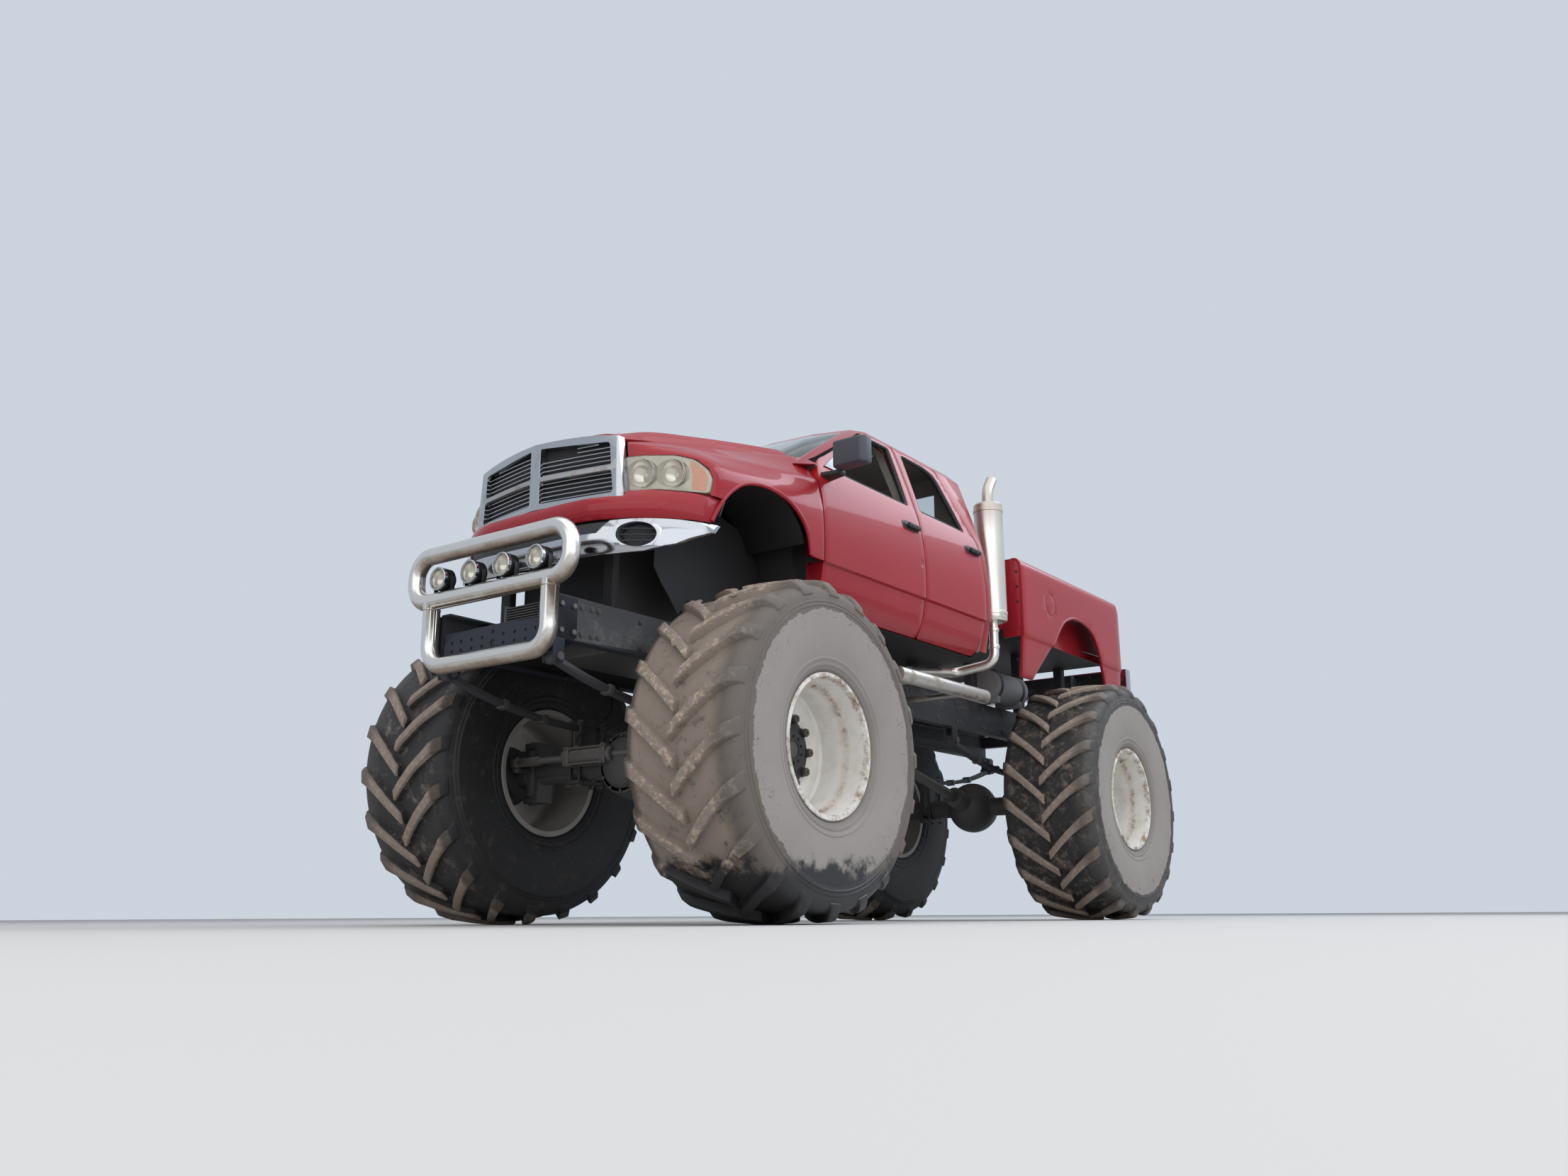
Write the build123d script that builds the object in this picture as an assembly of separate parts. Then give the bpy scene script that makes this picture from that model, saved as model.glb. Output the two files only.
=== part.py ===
from build123d import *
import math
import os

os.makedirs("parts", exist_ok=True)

# A crew-cab pickup body on a heavy truck chassis with large lugged tyres.
# Millimetres. X runs forward, Y to the left, Z up from the ground.
# The origin is on the ground under the middle of the truck.

# Stance and wheels
wheelbase = 4200.0
front_axle_x = 2130.0
track = 2120.0
tyre_radius = 920.0
tyre_width = 764.0
tread_width = 600.0
lug_count = 20
lug_height = 50.0
lug_width = 66.0
lug_sweep = 19.0
tyre_facets = 30
cavity_facets = 12
bead_radius = 372.0
rim_flange_radius = 395.0
rim_width = 686.0
rim_wall = 12.0
rim_flange = 12.0
rim_seat_length = 110.0
rim_well_start = 140.0
rim_well_depth = 26.0
disc_offset = 40.0
disc_thickness = 16.0
hub_radius = 132.0
hub_reach = 62.0
stub_radius = 45.0
running_clearance = 0.3

# Chassis
axle_to_frame = 530.0
rail_height = 235.0
rail_width = 75.0
rail_wall = 12.0
rail_outer_y = 450.0
rail_front_x = 3255.0
rail_rear_x = -3190.0
front_plate_height = 137.0
front_plate_half = 400.0
spring_width = 56.0
spring_thickness = 44.0
spring_half_span = 1090.0
spring_over_axle = 250.0
spring_eye_rise = 180.0
spring_pad_half = 105.0
spring_pad_overhang = 22.0
u_bolt_radius = 10.0
hanger_half = 42.0
hanger_plate = 12.0
eye_radius = 36.0
pin_radius = 16.0
axle_radius = 75.0
bowl_radius = 205.0
bowl_cover = 118.0
brake_radius = 150.0
pinion_length = 340.0
pinion_radius = 80.0
shaft_radius = 40.0
yoke_length = 60.0
yoke_radius = 60.0
crossmember_x = [2960.0, 560.0, -300.0, -1050.0, -3150.0]
crossmember_half = 40.0

# Steering
kingpin_y = 860.0
kingpin_radius = 28.0
kingpin_half = 150.0
fork_thickness = 36.0
fork_half = 62.0
fork_behind_kingpin = 90.0
steering_arm = 150.0
rod_over_axle = 55.0
barrel_radius = 46.0
barrel_half = 200.0
barrel_middle_y = -235.0
barrel_clamp = 40.0
piston_rod_radius = 20.0
rod_eye_drift = 11.0
rod_eye_radius = 38.0
ball_stud_radius = 11.0

# Body: its tables count x back from the front face and z up from the body's own datum
body_face_x = 3060.0
datum_below_frame_top = 255.0
shut_gap = 6.0
door_gap = 8.0
door_inset = 18.0
door_hem = 6.0
hinge_pin = 5.0
hood_pin = 8.0
seat_gap = 0.3
panel_y = 26.0
panel_z = 20.0
hood_thickness = 24.0
roof_wall = 45.0
glass_thickness = 8.0
mirror_sail = 8.0
fog_y = 690.0
fog_up = 609.0
fog_half_width = 90.0
fog_half_height = 72.0
door_inner_y = 862.0
floor_bottom = 430.0
floor_top = 500.0
belt_z = 1340.0
cab_front = 1515.0
cab_rear = 3680.0
bed_front = 4232.0
bed_rear = 6210.0
bed_floor_rear = 6198.0
bed_floor_up = 820.0
gate_hinge_back = 6246.0
gate_hinge_up = 828.0
gate_pin = 12.0
engine_front = 430.0
engine_rear = 1380.0
gearbox_back = 2050.0
gearbox_end = 2400.0

# Bull bar
bar_x = 3312.0
bar_radius = 48.0
lamp_radius = 66.0
lamp_depth = 105.0
bar_bend = 120.0
bar_top_up = 590.0
bar_middle_up = 322.0
bar_low_up = -50.0
spot_lamp_up = 438.0
spot_lamp_y = [-385.0, -128.0, 128.0, 385.0]

# Exhaust stacks
stack_x = -890.0
stack_y = 862.0
stack_radius = 115.0
stack_bottom = 770.0
stack_top = 1715.0
stack_tip = 1935.0
pipe_radius = 38.0

# Places worked out from the sizes above
wheel_z = tyre_radius
wheel_y = track / 2
rear_axle_x = front_axle_x - wheelbase
rail_bottom_z = wheel_z + axle_to_frame
rail_top_z = rail_bottom_z + rail_height
rail_mid_y = rail_outer_y - rail_width / 2
rail_inner_y = rail_outer_y - rail_width
body_z = rail_top_z - datum_below_frame_top
spring_z = wheel_z + spring_over_axle
eye_z = spring_z + spring_eye_rise
rod_z = wheel_z + rod_over_axle
rod_x = front_axle_x + steering_arm
fork_back_y = kingpin_y - fork_behind_kingpin
spring_y0 = rail_mid_y - spring_width / 2
spring_y1 = rail_mid_y + spring_width / 2
eye_x = [axle + way * spring_half_span for axle in (front_axle_x, rear_axle_x) for way in (1, -1)]


def bx(back):
    return body_face_x - back


def bz(up):
    return body_z + up


def box(x0, x1, y0, y1, z0, z1):
    middle = Pos((x0 + x1) / 2, (y0 + y1) / 2, (z0 + z1) / 2)
    return middle * Box(abs(x1 - x0), abs(y1 - y0), abs(z1 - z0))


def body_box(back0, back1, y0, y1, up0, up1):
    return box(bx(back0), bx(back1), y0, y1, bz(up0), bz(up1))


def rod(start, end, radius, bore=0.0):
    start, end = Vector(start), Vector(end)
    plane = Plane(origin=start, z_dir=end - start)
    solid = Solid.make_cylinder(radius, (end - start).length, plane)
    if bore:
        solid = solid - Solid.make_cylinder(bore, (end - start).length, plane)
    return solid


def prism_y(points, y0, y1):
    # points are (x, z)
    face = make_face(Polyline(*[(x, y0, z) for x, z in points], close=True))
    return extrude(face, amount=y1 - y0, dir=(0, 1, 0))


def prism_x(points, x0, x1):
    # points are (y, z)
    face = make_face(Polyline(*[(x0, y, z) for y, z in points], close=True))
    return extrude(face, amount=x1 - x0, dir=(1, 0, 0))


def prism_z(points, z0, z1):
    # points are (x, y)
    face = make_face(Polyline(*[(x, y, z0) for x, y in points], close=True))
    return extrude(face, amount=z1 - z0, dir=(0, 0, 1))


def body_side(points, y0, y1):
    # points are (back, up)
    return prism_y([(bx(back), bz(up)) for back, up in points], y0, y1)


def body_front(points, back0, back1):
    # points are (y, up)
    return prism_x([(y, bz(up)) for y, up in points], bx(back1), bx(back0))


def body_plan(points, up0, up1):
    # points are (back, y)
    return prism_z([(bx(back), y) for back, y in points], bz(up0), bz(up1))


def ruled(sections):
    wires = [Wire.make_polygon([Vector(*p) for p in points], close=True) for points in sections]
    return Solid.make_loft(wires, True)


def common(first, second):
    found = first.intersect(second).solids()
    whole = found[0]
    for solid in found[1:]:
        whole = whole + solid
    return whole


def mirrored(shape):
    return mirror(shape, Plane.XZ)


def pair(shape):
    return [shape, mirrored(shape)]


def both_sides(half):
    # half is a list of (y, up) from the middle out; this closes it over the other side
    return half + [(-y, up) for y, up in reversed(half) if y > 0]


def whole_plan(half):
    # half is a list of (back, y) from the middle out
    return half + [(back, -y) for back, y in reversed(half) if y > 0]


def save(name, shapes):
    if not isinstance(shapes, list):
        shapes = [shapes]
    solids = [solid for shape in shapes for solid in shape.solids()]
    whole = solids[0] if len(solids) == 1 else Compound(children=solids)
    whole.label = name
    export_step(whole, f"parts/{name}.step")
    print(name, len(solids))


# Tyres and rims

# Carcass outline: radius, half width; from the bead out to the tread
carcass = [
    (bead_radius + running_clearance, rim_width / 2 - 13),
    (rim_flange_radius + 1, rim_width / 2 - 13),
    (rim_flange_radius + 14, rim_width / 2 - 5),
    (640.0, tyre_width / 2),
    (800.0, tyre_width / 2 - 12),
    (tyre_radius - lug_height, tread_width / 2),
]

# Lug outline: distance from the tyre's middle, share of the sweep, radius below the lug tips
lug_path = [
    (-16.0, 0.0, 0.0),
    (150.0, 0.55, 4.0),
    (tread_width / 2 + 26.0, 1.0, 34.0),
]

# Cavity outline: radius, half width
cavity = [
    (bead_radius - 20, rim_width / 2 - 80),
    (660.0, tyre_width / 2 - 45),
    (tyre_radius - 115, tread_width / 2 - 50),
]


def revolved_facets(outline, facets):
    # A ring of flat facets about the Y axis, closed at the bore
    faces = []
    step = 2 * math.pi / facets
    for turn in range(facets):
        a, b = turn * step, (turn + 1) * step
        for (r0, y0), (r1, y1) in zip(outline, outline[1:] + outline[:1]):
            corners = [
                Vector(r0 * math.cos(a), y0, r0 * math.sin(a)),
                Vector(r1 * math.cos(a), y1, r1 * math.sin(a)),
                Vector(r1 * math.cos(b), y1, r1 * math.sin(b)),
                Vector(r0 * math.cos(b), y0, r0 * math.sin(b)),
            ]
            faces.append(Face(Wire.make_polygon(corners, close=True)))
    return Solid(Shell(faces))


def lug(side, angle):
    sections = []
    for y, share, drop in lug_path:
        turn = math.radians(angle + share * lug_sweep)
        outward = Vector(math.cos(turn), 0, math.sin(turn))
        around = Vector(-math.sin(turn), 0, math.cos(turn))
        middle = Vector(0, side * y, 0)
        top, root = tyre_radius - drop, tyre_radius - drop - lug_height - 22
        sections.append([
            middle + outward * top - around * lug_width * 0.42,
            middle + outward * top + around * lug_width * 0.42,
            middle + outward * root + around * lug_width * 0.58,
            middle + outward * root - around * lug_width * 0.58,
        ])
    return ruled([[(p.X, p.Y, p.Z) for p in points] for points in sections])


def tyre():
    grow = 1 / math.cos(math.pi / tyre_facets)
    outline = [(r * (grow if place < 2 else 1), y) for place, (r, y) in enumerate(carcass)]
    body = revolved_facets(outline + [(r, -y) for r, y in reversed(outline)], tyre_facets)
    pitch = 360 / lug_count
    lugs = [lug(side, pitch * (turn + (0.5 if side < 0 else 0.0)))
            for side in (1, -1) for turn in range(lug_count)]
    inside = revolved_facets(cavity + [(r, -y) for r, y in reversed(cavity)], cavity_facets)
    return body.fuse(*lugs) - inside


def rim():
    # radius, distance from the tyre's middle towards the outside of the truck
    half = rim_width / 2
    seat = bead_radius
    well = seat - rim_well_depth
    lip, slope, bottom = half - rim_flange, half - rim_seat_length, half - rim_well_start
    outer = [
        (rim_flange_radius, half), (rim_flange_radius, lip), (seat, lip), (seat, slope), (well, bottom),
        (well, -bottom), (seat, -slope), (seat, -lip), (rim_flange_radius, -lip), (rim_flange_radius, -half),
    ]
    bore = stub_radius + running_clearance
    inner = [
        (seat - rim_wall, -half), (seat - rim_wall, -slope - 4), (well - rim_wall, -bottom - 4),
        (well - rim_wall, disc_offset - disc_thickness), (bore, disc_offset - disc_thickness),
        (bore, disc_offset + hub_reach), (hub_radius - 22, disc_offset + hub_reach),
        (hub_radius, disc_offset + hub_reach - 22), (hub_radius, disc_offset), (well - rim_wall, disc_offset),
        (well - rim_wall, bottom + 4), (seat - rim_wall, slope + 4), (seat - rim_wall, half),
    ]
    face = make_face(Polyline(*[(r, y, 0) for r, y in outer + inner], close=True))
    return revolve(face, axis=Axis.Y)


def wheels():
    one_tyre, one_rim = tyre(), rim()
    for name, x, side in (("front_left", front_axle_x, 1), ("front_right", front_axle_x, -1),
                          ("rear_left", rear_axle_x, 1), ("rear_right", rear_axle_x, -1)):
        place = Pos(x, wheel_y, wheel_z)
        pieces = {"tyre": place * one_tyre, "rim": place * one_rim}
        for kind, piece in pieces.items():
            save(f"{kind}_{name}", piece if side > 0 else mirrored(piece))


# Chassis

def rail(side):
    outer = box(rail_rear_x, rail_front_x, rail_inner_y, rail_outer_y, rail_bottom_z, rail_top_z)
    hollow = box(rail_rear_x - 1, rail_front_x + 1, rail_inner_y - 1, rail_outer_y - rail_wall,
                 rail_bottom_z + rail_wall, rail_top_z - rail_wall)
    channel = outer - hollow
    return channel if side > 0 else mirrored(channel)


def hanger(x, side):
    # Two cheeks under the rail that hold the spring's eye on a pin
    cheeks = []
    y0, y1 = spring_y0 - hanger_plate - 2, spring_y1 + hanger_plate + 2
    for y in (y0, y1 - hanger_plate):
        cheeks.append(prism_y([(x - hanger_half, rail_bottom_z), (x + hanger_half, rail_bottom_z),
                               (x + 34, eye_z - 30), (x - 34, eye_z - 30)], y, y + hanger_plate))
    pin = rod((x, y0, eye_z), (x, y1, eye_z), pin_radius)
    foot = box(x - hanger_half, x + hanger_half, y0, y1, rail_bottom_z - hanger_plate, rail_bottom_z)
    whole = cheeks[0] + cheeks[1] + pin + foot
    return whole if side > 0 else mirrored(whole)


def frame():
    whole = rail(1) + rail(-1)
    for x in crossmember_x:
        reach = rail_outer_y - rail_wall / 2
        whole += box(x - crossmember_half, x + crossmember_half, -reach, reach,
                     rail_bottom_z + 110, rail_bottom_z + 210)
    whole += box(rail_front_x - 1, rail_front_x + 8, -front_plate_half, front_plate_half,
                 rail_bottom_z - 20, rail_bottom_z - 20 + front_plate_height)
    for side in (1, -1):
        for x in eye_x:
            whole += hanger(x, side)
    return whole


def springs(axle_x):
    y0, y1 = spring_y0, spring_y1
    half, t = spring_half_span - eye_radius * 0.6, spring_thickness / 2
    ends = eye_z - 4

    def edge(offset):
        return [(axle_x - half, ends + offset), (axle_x, spring_z + offset), (axle_x + half, ends + offset)]

    low = ThreePointArc(*[(x, y0, z) for x, z in edge(-t)])
    high = ThreePointArc(*[(x, y0, z) for x, z in edge(t * 0.4)])
    outline = low + Line(low @ 1, high @ 1) + high + Line(high @ 0, low @ 0)
    leaf = extrude(make_face(outline), amount=spring_width, dir=(0, 1, 0))
    for way in (1, -1):
        x = axle_x + way * spring_half_span
        leaf += rod((x, y0, eye_z), (x, y1, eye_z), eye_radius)
    for way in (1, -1):
        x = axle_x + way * spring_half_span
        leaf -= rod((x, y0 - 1, eye_z), (x, y1 + 1, eye_z), pin_radius + running_clearance)
    x0, x1 = axle_x - spring_pad_half, axle_x + spring_pad_half
    plate_y0, plate_y1 = y0 - spring_pad_overhang, y1 + spring_pad_overhang
    plate = box(x0, x1, plate_y0, plate_y1, spring_z + 6, spring_z + 26)
    for way in (1, -1):
        for y in ((y0 + plate_y0) / 2, (y1 + plate_y1) / 2):
            x = axle_x + way * (axle_radius + 14)
            plate += rod((x, y, wheel_z - axle_radius - 34), (x, y, spring_z + 40), u_bolt_radius)
    plate += box(x0, x1, plate_y0, plate_y1, wheel_z - axle_radius - 20, wheel_z - axle_radius - seat_gap)
    return pair(leaf + plate)


def shaft_line(axle_x, front):
    # The straight line from the gearbox to the axle's middle, as start, end and direction
    start = Vector(bx(gearbox_back), -205, bz(60)) if front else Vector(bx(gearbox_end), 0, bz(80))
    end = Vector(axle_x, 0, wheel_z)
    return start, end, (end - start).normalized()


def axle_housing(axle_x, end_y, front):
    tube = rod((axle_x, -end_y, wheel_z), (axle_x, end_y, wheel_z), axle_radius)
    bowl = Pos(axle_x, 0, wheel_z) * Sphere(bowl_radius)
    cover = axle_x + bowl_cover if front else axle_x - bowl_cover
    bowl -= box(cover, cover + (bowl_radius if front else -bowl_radius), -bowl_radius, bowl_radius,
                wheel_z - bowl_radius, wheel_z + bowl_radius)
    housing = tube + bowl
    start, end, way = shaft_line(axle_x, front)
    housing += rod(end, end - way * pinion_length, pinion_radius)
    for side in (1, -1):
        pad = box(axle_x - 70, axle_x + 70, spring_y0, spring_y1,
                  wheel_z, spring_z - spring_thickness / 2 - seat_gap)
        housing += pad if side > 0 else mirrored(pad)
    return housing


def front_axle():
    whole = axle_housing(front_axle_x, fork_back_y, True)
    outer = kingpin_half + fork_thickness
    x0, x1 = front_axle_x - fork_half, front_axle_x + fork_half
    fork = box(x0, x1, fork_back_y - 10, fork_back_y + 22, wheel_z - outer, wheel_z + outer)
    for way in (1, -1):
        z0, z1 = sorted((wheel_z + way * kingpin_half, wheel_z + way * outer))
        fork += box(x0, x1, fork_back_y, kingpin_y, z0, z1)
        fork += rod((front_axle_x, kingpin_y, z0), (front_axle_x, kingpin_y, z1), fork_half)
    bore = kingpin_radius + running_clearance
    fork -= rod((front_axle_x, kingpin_y, wheel_z - outer - 1),
                (front_axle_x, kingpin_y, wheel_z + outer + 1), bore)
    whole += fork + mirrored(fork)
    y0, y1 = barrel_middle_y - barrel_half, barrel_middle_y + barrel_half
    for y in (y0 + barrel_clamp / 2 + 10, y1 - barrel_clamp / 2 - 10):
        whole += box(front_axle_x, rod_x - barrel_radius * 0.5, y - barrel_clamp / 2, y + barrel_clamp / 2,
                     rod_z - 50, rod_z + 40)
    return whole - rod((rod_x, y0 - 40, rod_z), (rod_x, y1 + 40, rod_z), barrel_radius + seat_gap)


def rear_axle():
    whole = axle_housing(rear_axle_x, wheel_y - 60, False)
    for side in (1, -1):
        whole += rod((rear_axle_x, side * (wheel_y - 62), wheel_z),
                     (rear_axle_x, side * (wheel_y + disc_offset + hub_reach - 4), wheel_z), stub_radius)
        whole += rod((rear_axle_x, side * (wheel_y - 150), wheel_z),
                     (rear_axle_x, side * (wheel_y - 60), wheel_z), brake_radius)
    return whole


def knuckle():
    x, y = front_axle_x, kingpin_y
    whole = rod((x, y, wheel_z - kingpin_half + 5), (x, y, wheel_z + kingpin_half - 5), 54)
    whole += rod((x, y, wheel_z - kingpin_half - fork_thickness - 6), (x, y, wheel_z + kingpin_half
                 + fork_thickness + 6), kingpin_radius)
    whole += rod((x, y, wheel_z), (x, wheel_y - 60, wheel_z), 88)
    whole += rod((x, wheel_y - 110, wheel_z), (x, wheel_y - 30, wheel_z), brake_radius)
    whole += rod((x, wheel_y - 40, wheel_z), (x, wheel_y + disc_offset + hub_reach - 4, wheel_z), stub_radius)
    arm_top = rod_z - 34
    whole += box(x, rod_x, y - 24, y + 24, arm_top - 28, arm_top)
    whole += rod((rod_x, y, arm_top - 28), (rod_x, y, arm_top), 30)
    whole += rod((rod_x, y, arm_top), (rod_x, y, rod_z + 26), ball_stud_radius)
    return whole


def steering_cylinder():
    return rod((rod_x, barrel_middle_y - barrel_half, rod_z), (rod_x, barrel_middle_y + barrel_half, rod_z),
               barrel_radius, piston_rod_radius + running_clearance)


def steering_rod():
    bar = rod((rod_x, -kingpin_y, rod_z), (rod_x, kingpin_y, rod_z), piston_rod_radius)
    for side in (1, -1):
        y = side * kingpin_y
        bar += rod((rod_x, y, rod_z - 28), (rod_x, y, rod_z + 22), rod_eye_radius)
        bar += rod((rod_x, side * (kingpin_y - 210), rod_z), (rod_x, side * (kingpin_y - 30), rod_z), 28)
    for side in (1, -1):
        bar -= rod((rod_x, side * kingpin_y, rod_z - 40), (rod_x, side * kingpin_y, rod_z + 40),
                   ball_stud_radius + rod_eye_drift)
    return bar


def driveline():
    save("engine", body_box(engine_front, engine_rear, -240, 240, 60, 960))
    gearbox = body_box(engine_rear + seat_gap, gearbox_back, -130, 130, 20, 400)
    gearbox += body_box(gearbox_back - 1, gearbox_end, -270, 150, -30, 330)
    shafts = []
    for axle_x, front in ((front_axle_x, True), (rear_axle_x, False)):
        start, end, way = shaft_line(axle_x, front)
        gearbox += rod(start - way * 20, start + way * yoke_length, yoke_radius)
        shafts.append(rod(start + way * (yoke_length + seat_gap), end - way * (pinion_length + seat_gap),
                          shaft_radius))
    save("gearbox", gearbox)
    save("drive_shafts", shafts)


def radiator():
    core = body_box(300, 370, -330, 330, 180, 900)
    for up in (300, 760):
        flange = body_box(280 + seat_gap, 310, 300, 420, up, up + 40)
        core += flange + mirrored(flange)
    save("radiator", core)


def fuel_tank():
    y, z, radius = 510, rail_top_z + 145, 125
    tank = rod((-1380, y, z), (-1920, y, z), radius)
    for x in (-1460, -1840):
        tank += box(x - 20, x + 20, rail_inner_y, y + 90, rail_top_z, z - 60)
    save("fuel_tank", tank)


# Bull bar and spot lamps

def bent_tube(points, radius, bend, close=False):
    path = FilletPolyline(*points, radius=bend, close=close)
    section = Plane(origin=path @ 0, z_dir=path % 0) * Circle(radius)
    return sweep(section, path=path)


def bull_bar():
    r = bar_radius
    top, middle, low = bz(bar_top_up), bz(bar_middle_up), bz(bar_low_up)
    half_top, half_low = 662 - r, 517 - r
    upper = [(bar_x, half_top, top), (bar_x, half_top, middle), (bar_x, -half_top, middle),
             (bar_x, -half_top, top)]
    loop = bent_tube(upper, r, bar_bend, True)
    lower = [(bar_x, half_low, middle), (bar_x, half_low, low), (bar_x, -half_low, low),
             (bar_x, -half_low, middle)]
    legs = bent_tube(lower, r, bar_bend)
    whole = loop + legs
    for side in (1, -1):
        arm = box(rail_front_x - 150, bar_x, rail_outer_y, rail_outer_y + 14,
                  rail_bottom_z + 10, rail_top_z - 10)
        whole += arm if side > 0 else mirrored(arm)
    return whole


def spot_lamps():
    lamps = []
    z, bar_z = bz(spot_lamp_up), bz(bar_middle_up)
    for y in spot_lamp_y:
        lamp = rod((bar_x - 60, y, z), (bar_x - 60 + lamp_depth, y, z), lamp_radius)
        foot = rod((bar_x - 10, y, bar_z + bar_radius * 0.98), (bar_x - 10, y, z), 12)
        saddle = rod((bar_x, y - 100, bar_z), (bar_x, y + 100, bar_z), bar_radius + seat_gap)
        lamps.append(lamp + foot - saddle)
    return lamps


# Cab

# half width, up
side_profile = [(880, floor_bottom), (932, 480), (968, 690), (985, 712), (984, 970), (955, 1210),
                (922, belt_z)]

# half width of the part of a door that lies behind its hem, up
door_hem_profile = [(845, 400), (845, floor_bottom), (897, 480), (933, 690), (950, 712), (949, 970),
                    (920, 1210), (887, belt_z)]

# Door hinges: distance behind the door's front edge, distance from the truck's middle, heights
hinge_back, hinge_y = 7.0, 974.0
hinge_ups = (735, 945)

hood_hinge_back, hood_hinge_y, hood_hinge_up = 1450, 574, 1430

# up, centre back, mid back, mid y, corner back, corner y, shoulder back, side y, rear back
greenhouse_levels = [
    (belt_z, 1260, 1300, 480, 1420, 830, 1510, 922, 3680),
    (1835, 2140, 2170, 380, 2255, 650, 2360, 745, 3690),
    (1915, 2290, 2320, 350, 2400, 600, 2500, 660, 3660),
    (1955, 2640, 2650, 200, 2700, 350, 2760, 400, 3480),
]


def greenhouse(inset):
    sections = []
    last = greenhouse_levels[-1][0]
    for up, centre, mid, mid_y, corner, corner_y, shoulder, side_y, rear in greenhouse_levels:
        push = inset * 1.8
        z = bz(up - (inset if up == last else inset * 0.6 if up > belt_z else 0))
        right = [(centre + push, 0), (mid + push, mid_y), (corner + push, corner_y - inset * 0.5),
                 (shoulder + inset, side_y - inset), (rear - inset, side_y - inset)]
        left = [(back, -y) for back, y in reversed(right) if y > 0]
        sections.append([(bx(back), y, z) for back, y in right + left])
    return ruled(sections)


def lower_outer():
    outline = side_profile + [(-y, up) for y, up in reversed(side_profile)]
    return body_front(outline, cab_front, cab_rear)


def lower_inner(bottom, front):
    half = [(850, bottom), (door_inner_y, 1200), (922 - roof_wall, belt_z)]
    outline = half + [(-y, up) for y, up in reversed(half)]
    return body_front(outline, front, cab_rear - roof_wall)


# back, up
front_door_outline = [(1515, 440), (1515, 1300), (1560, 1395), (1650, 1440), (2330, 1838), (2400, 1862),
                      (2731, 1868), (2731, 440)]
rear_door_outline = [(2739, 440), (2739, 1868), (3180, 1868), (3330, 1838), (3545, 1360), (3600, 1290),
                     (3610, 730), (3560, 480), (3530, 440)]
front_window = [(1835, 1352), (1835, 1510), (2360, 1795), (2420, 1815), (2660, 1820), (2635, 1352)]
rear_window_side = [(2805, 1352), (2830, 1815), (3170, 1812), (3290, 1770), (3440, 1352)]
mirror_sail_outline = [(1610, 1358), (1828, 1358), (1828, 1512)]
screen_outline = [(760, 1445), (590, 1872)]
back_glass_outline = [(560, 1400), (560, 1780)]


def grown(points, gap):
    # Move each corner out from the outline's middle, by the gap each way
    middle_x = (min(p[0] for p in points) + max(p[0] for p in points)) / 2
    middle_z = (min(p[1] for p in points) + max(p[1] for p in points)) / 2
    return [(x + gap * math.copysign(1, x - middle_x), z + gap * math.copysign(1, z - middle_z))
            for x, z in points]


def window_prism(outline, back0, back1, gap=0.0):
    half = grown([(y, up) for y, up in outline] + [(-y, up) for y, up in reversed(outline)], gap)
    return body_front(half, back0, back1)


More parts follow.
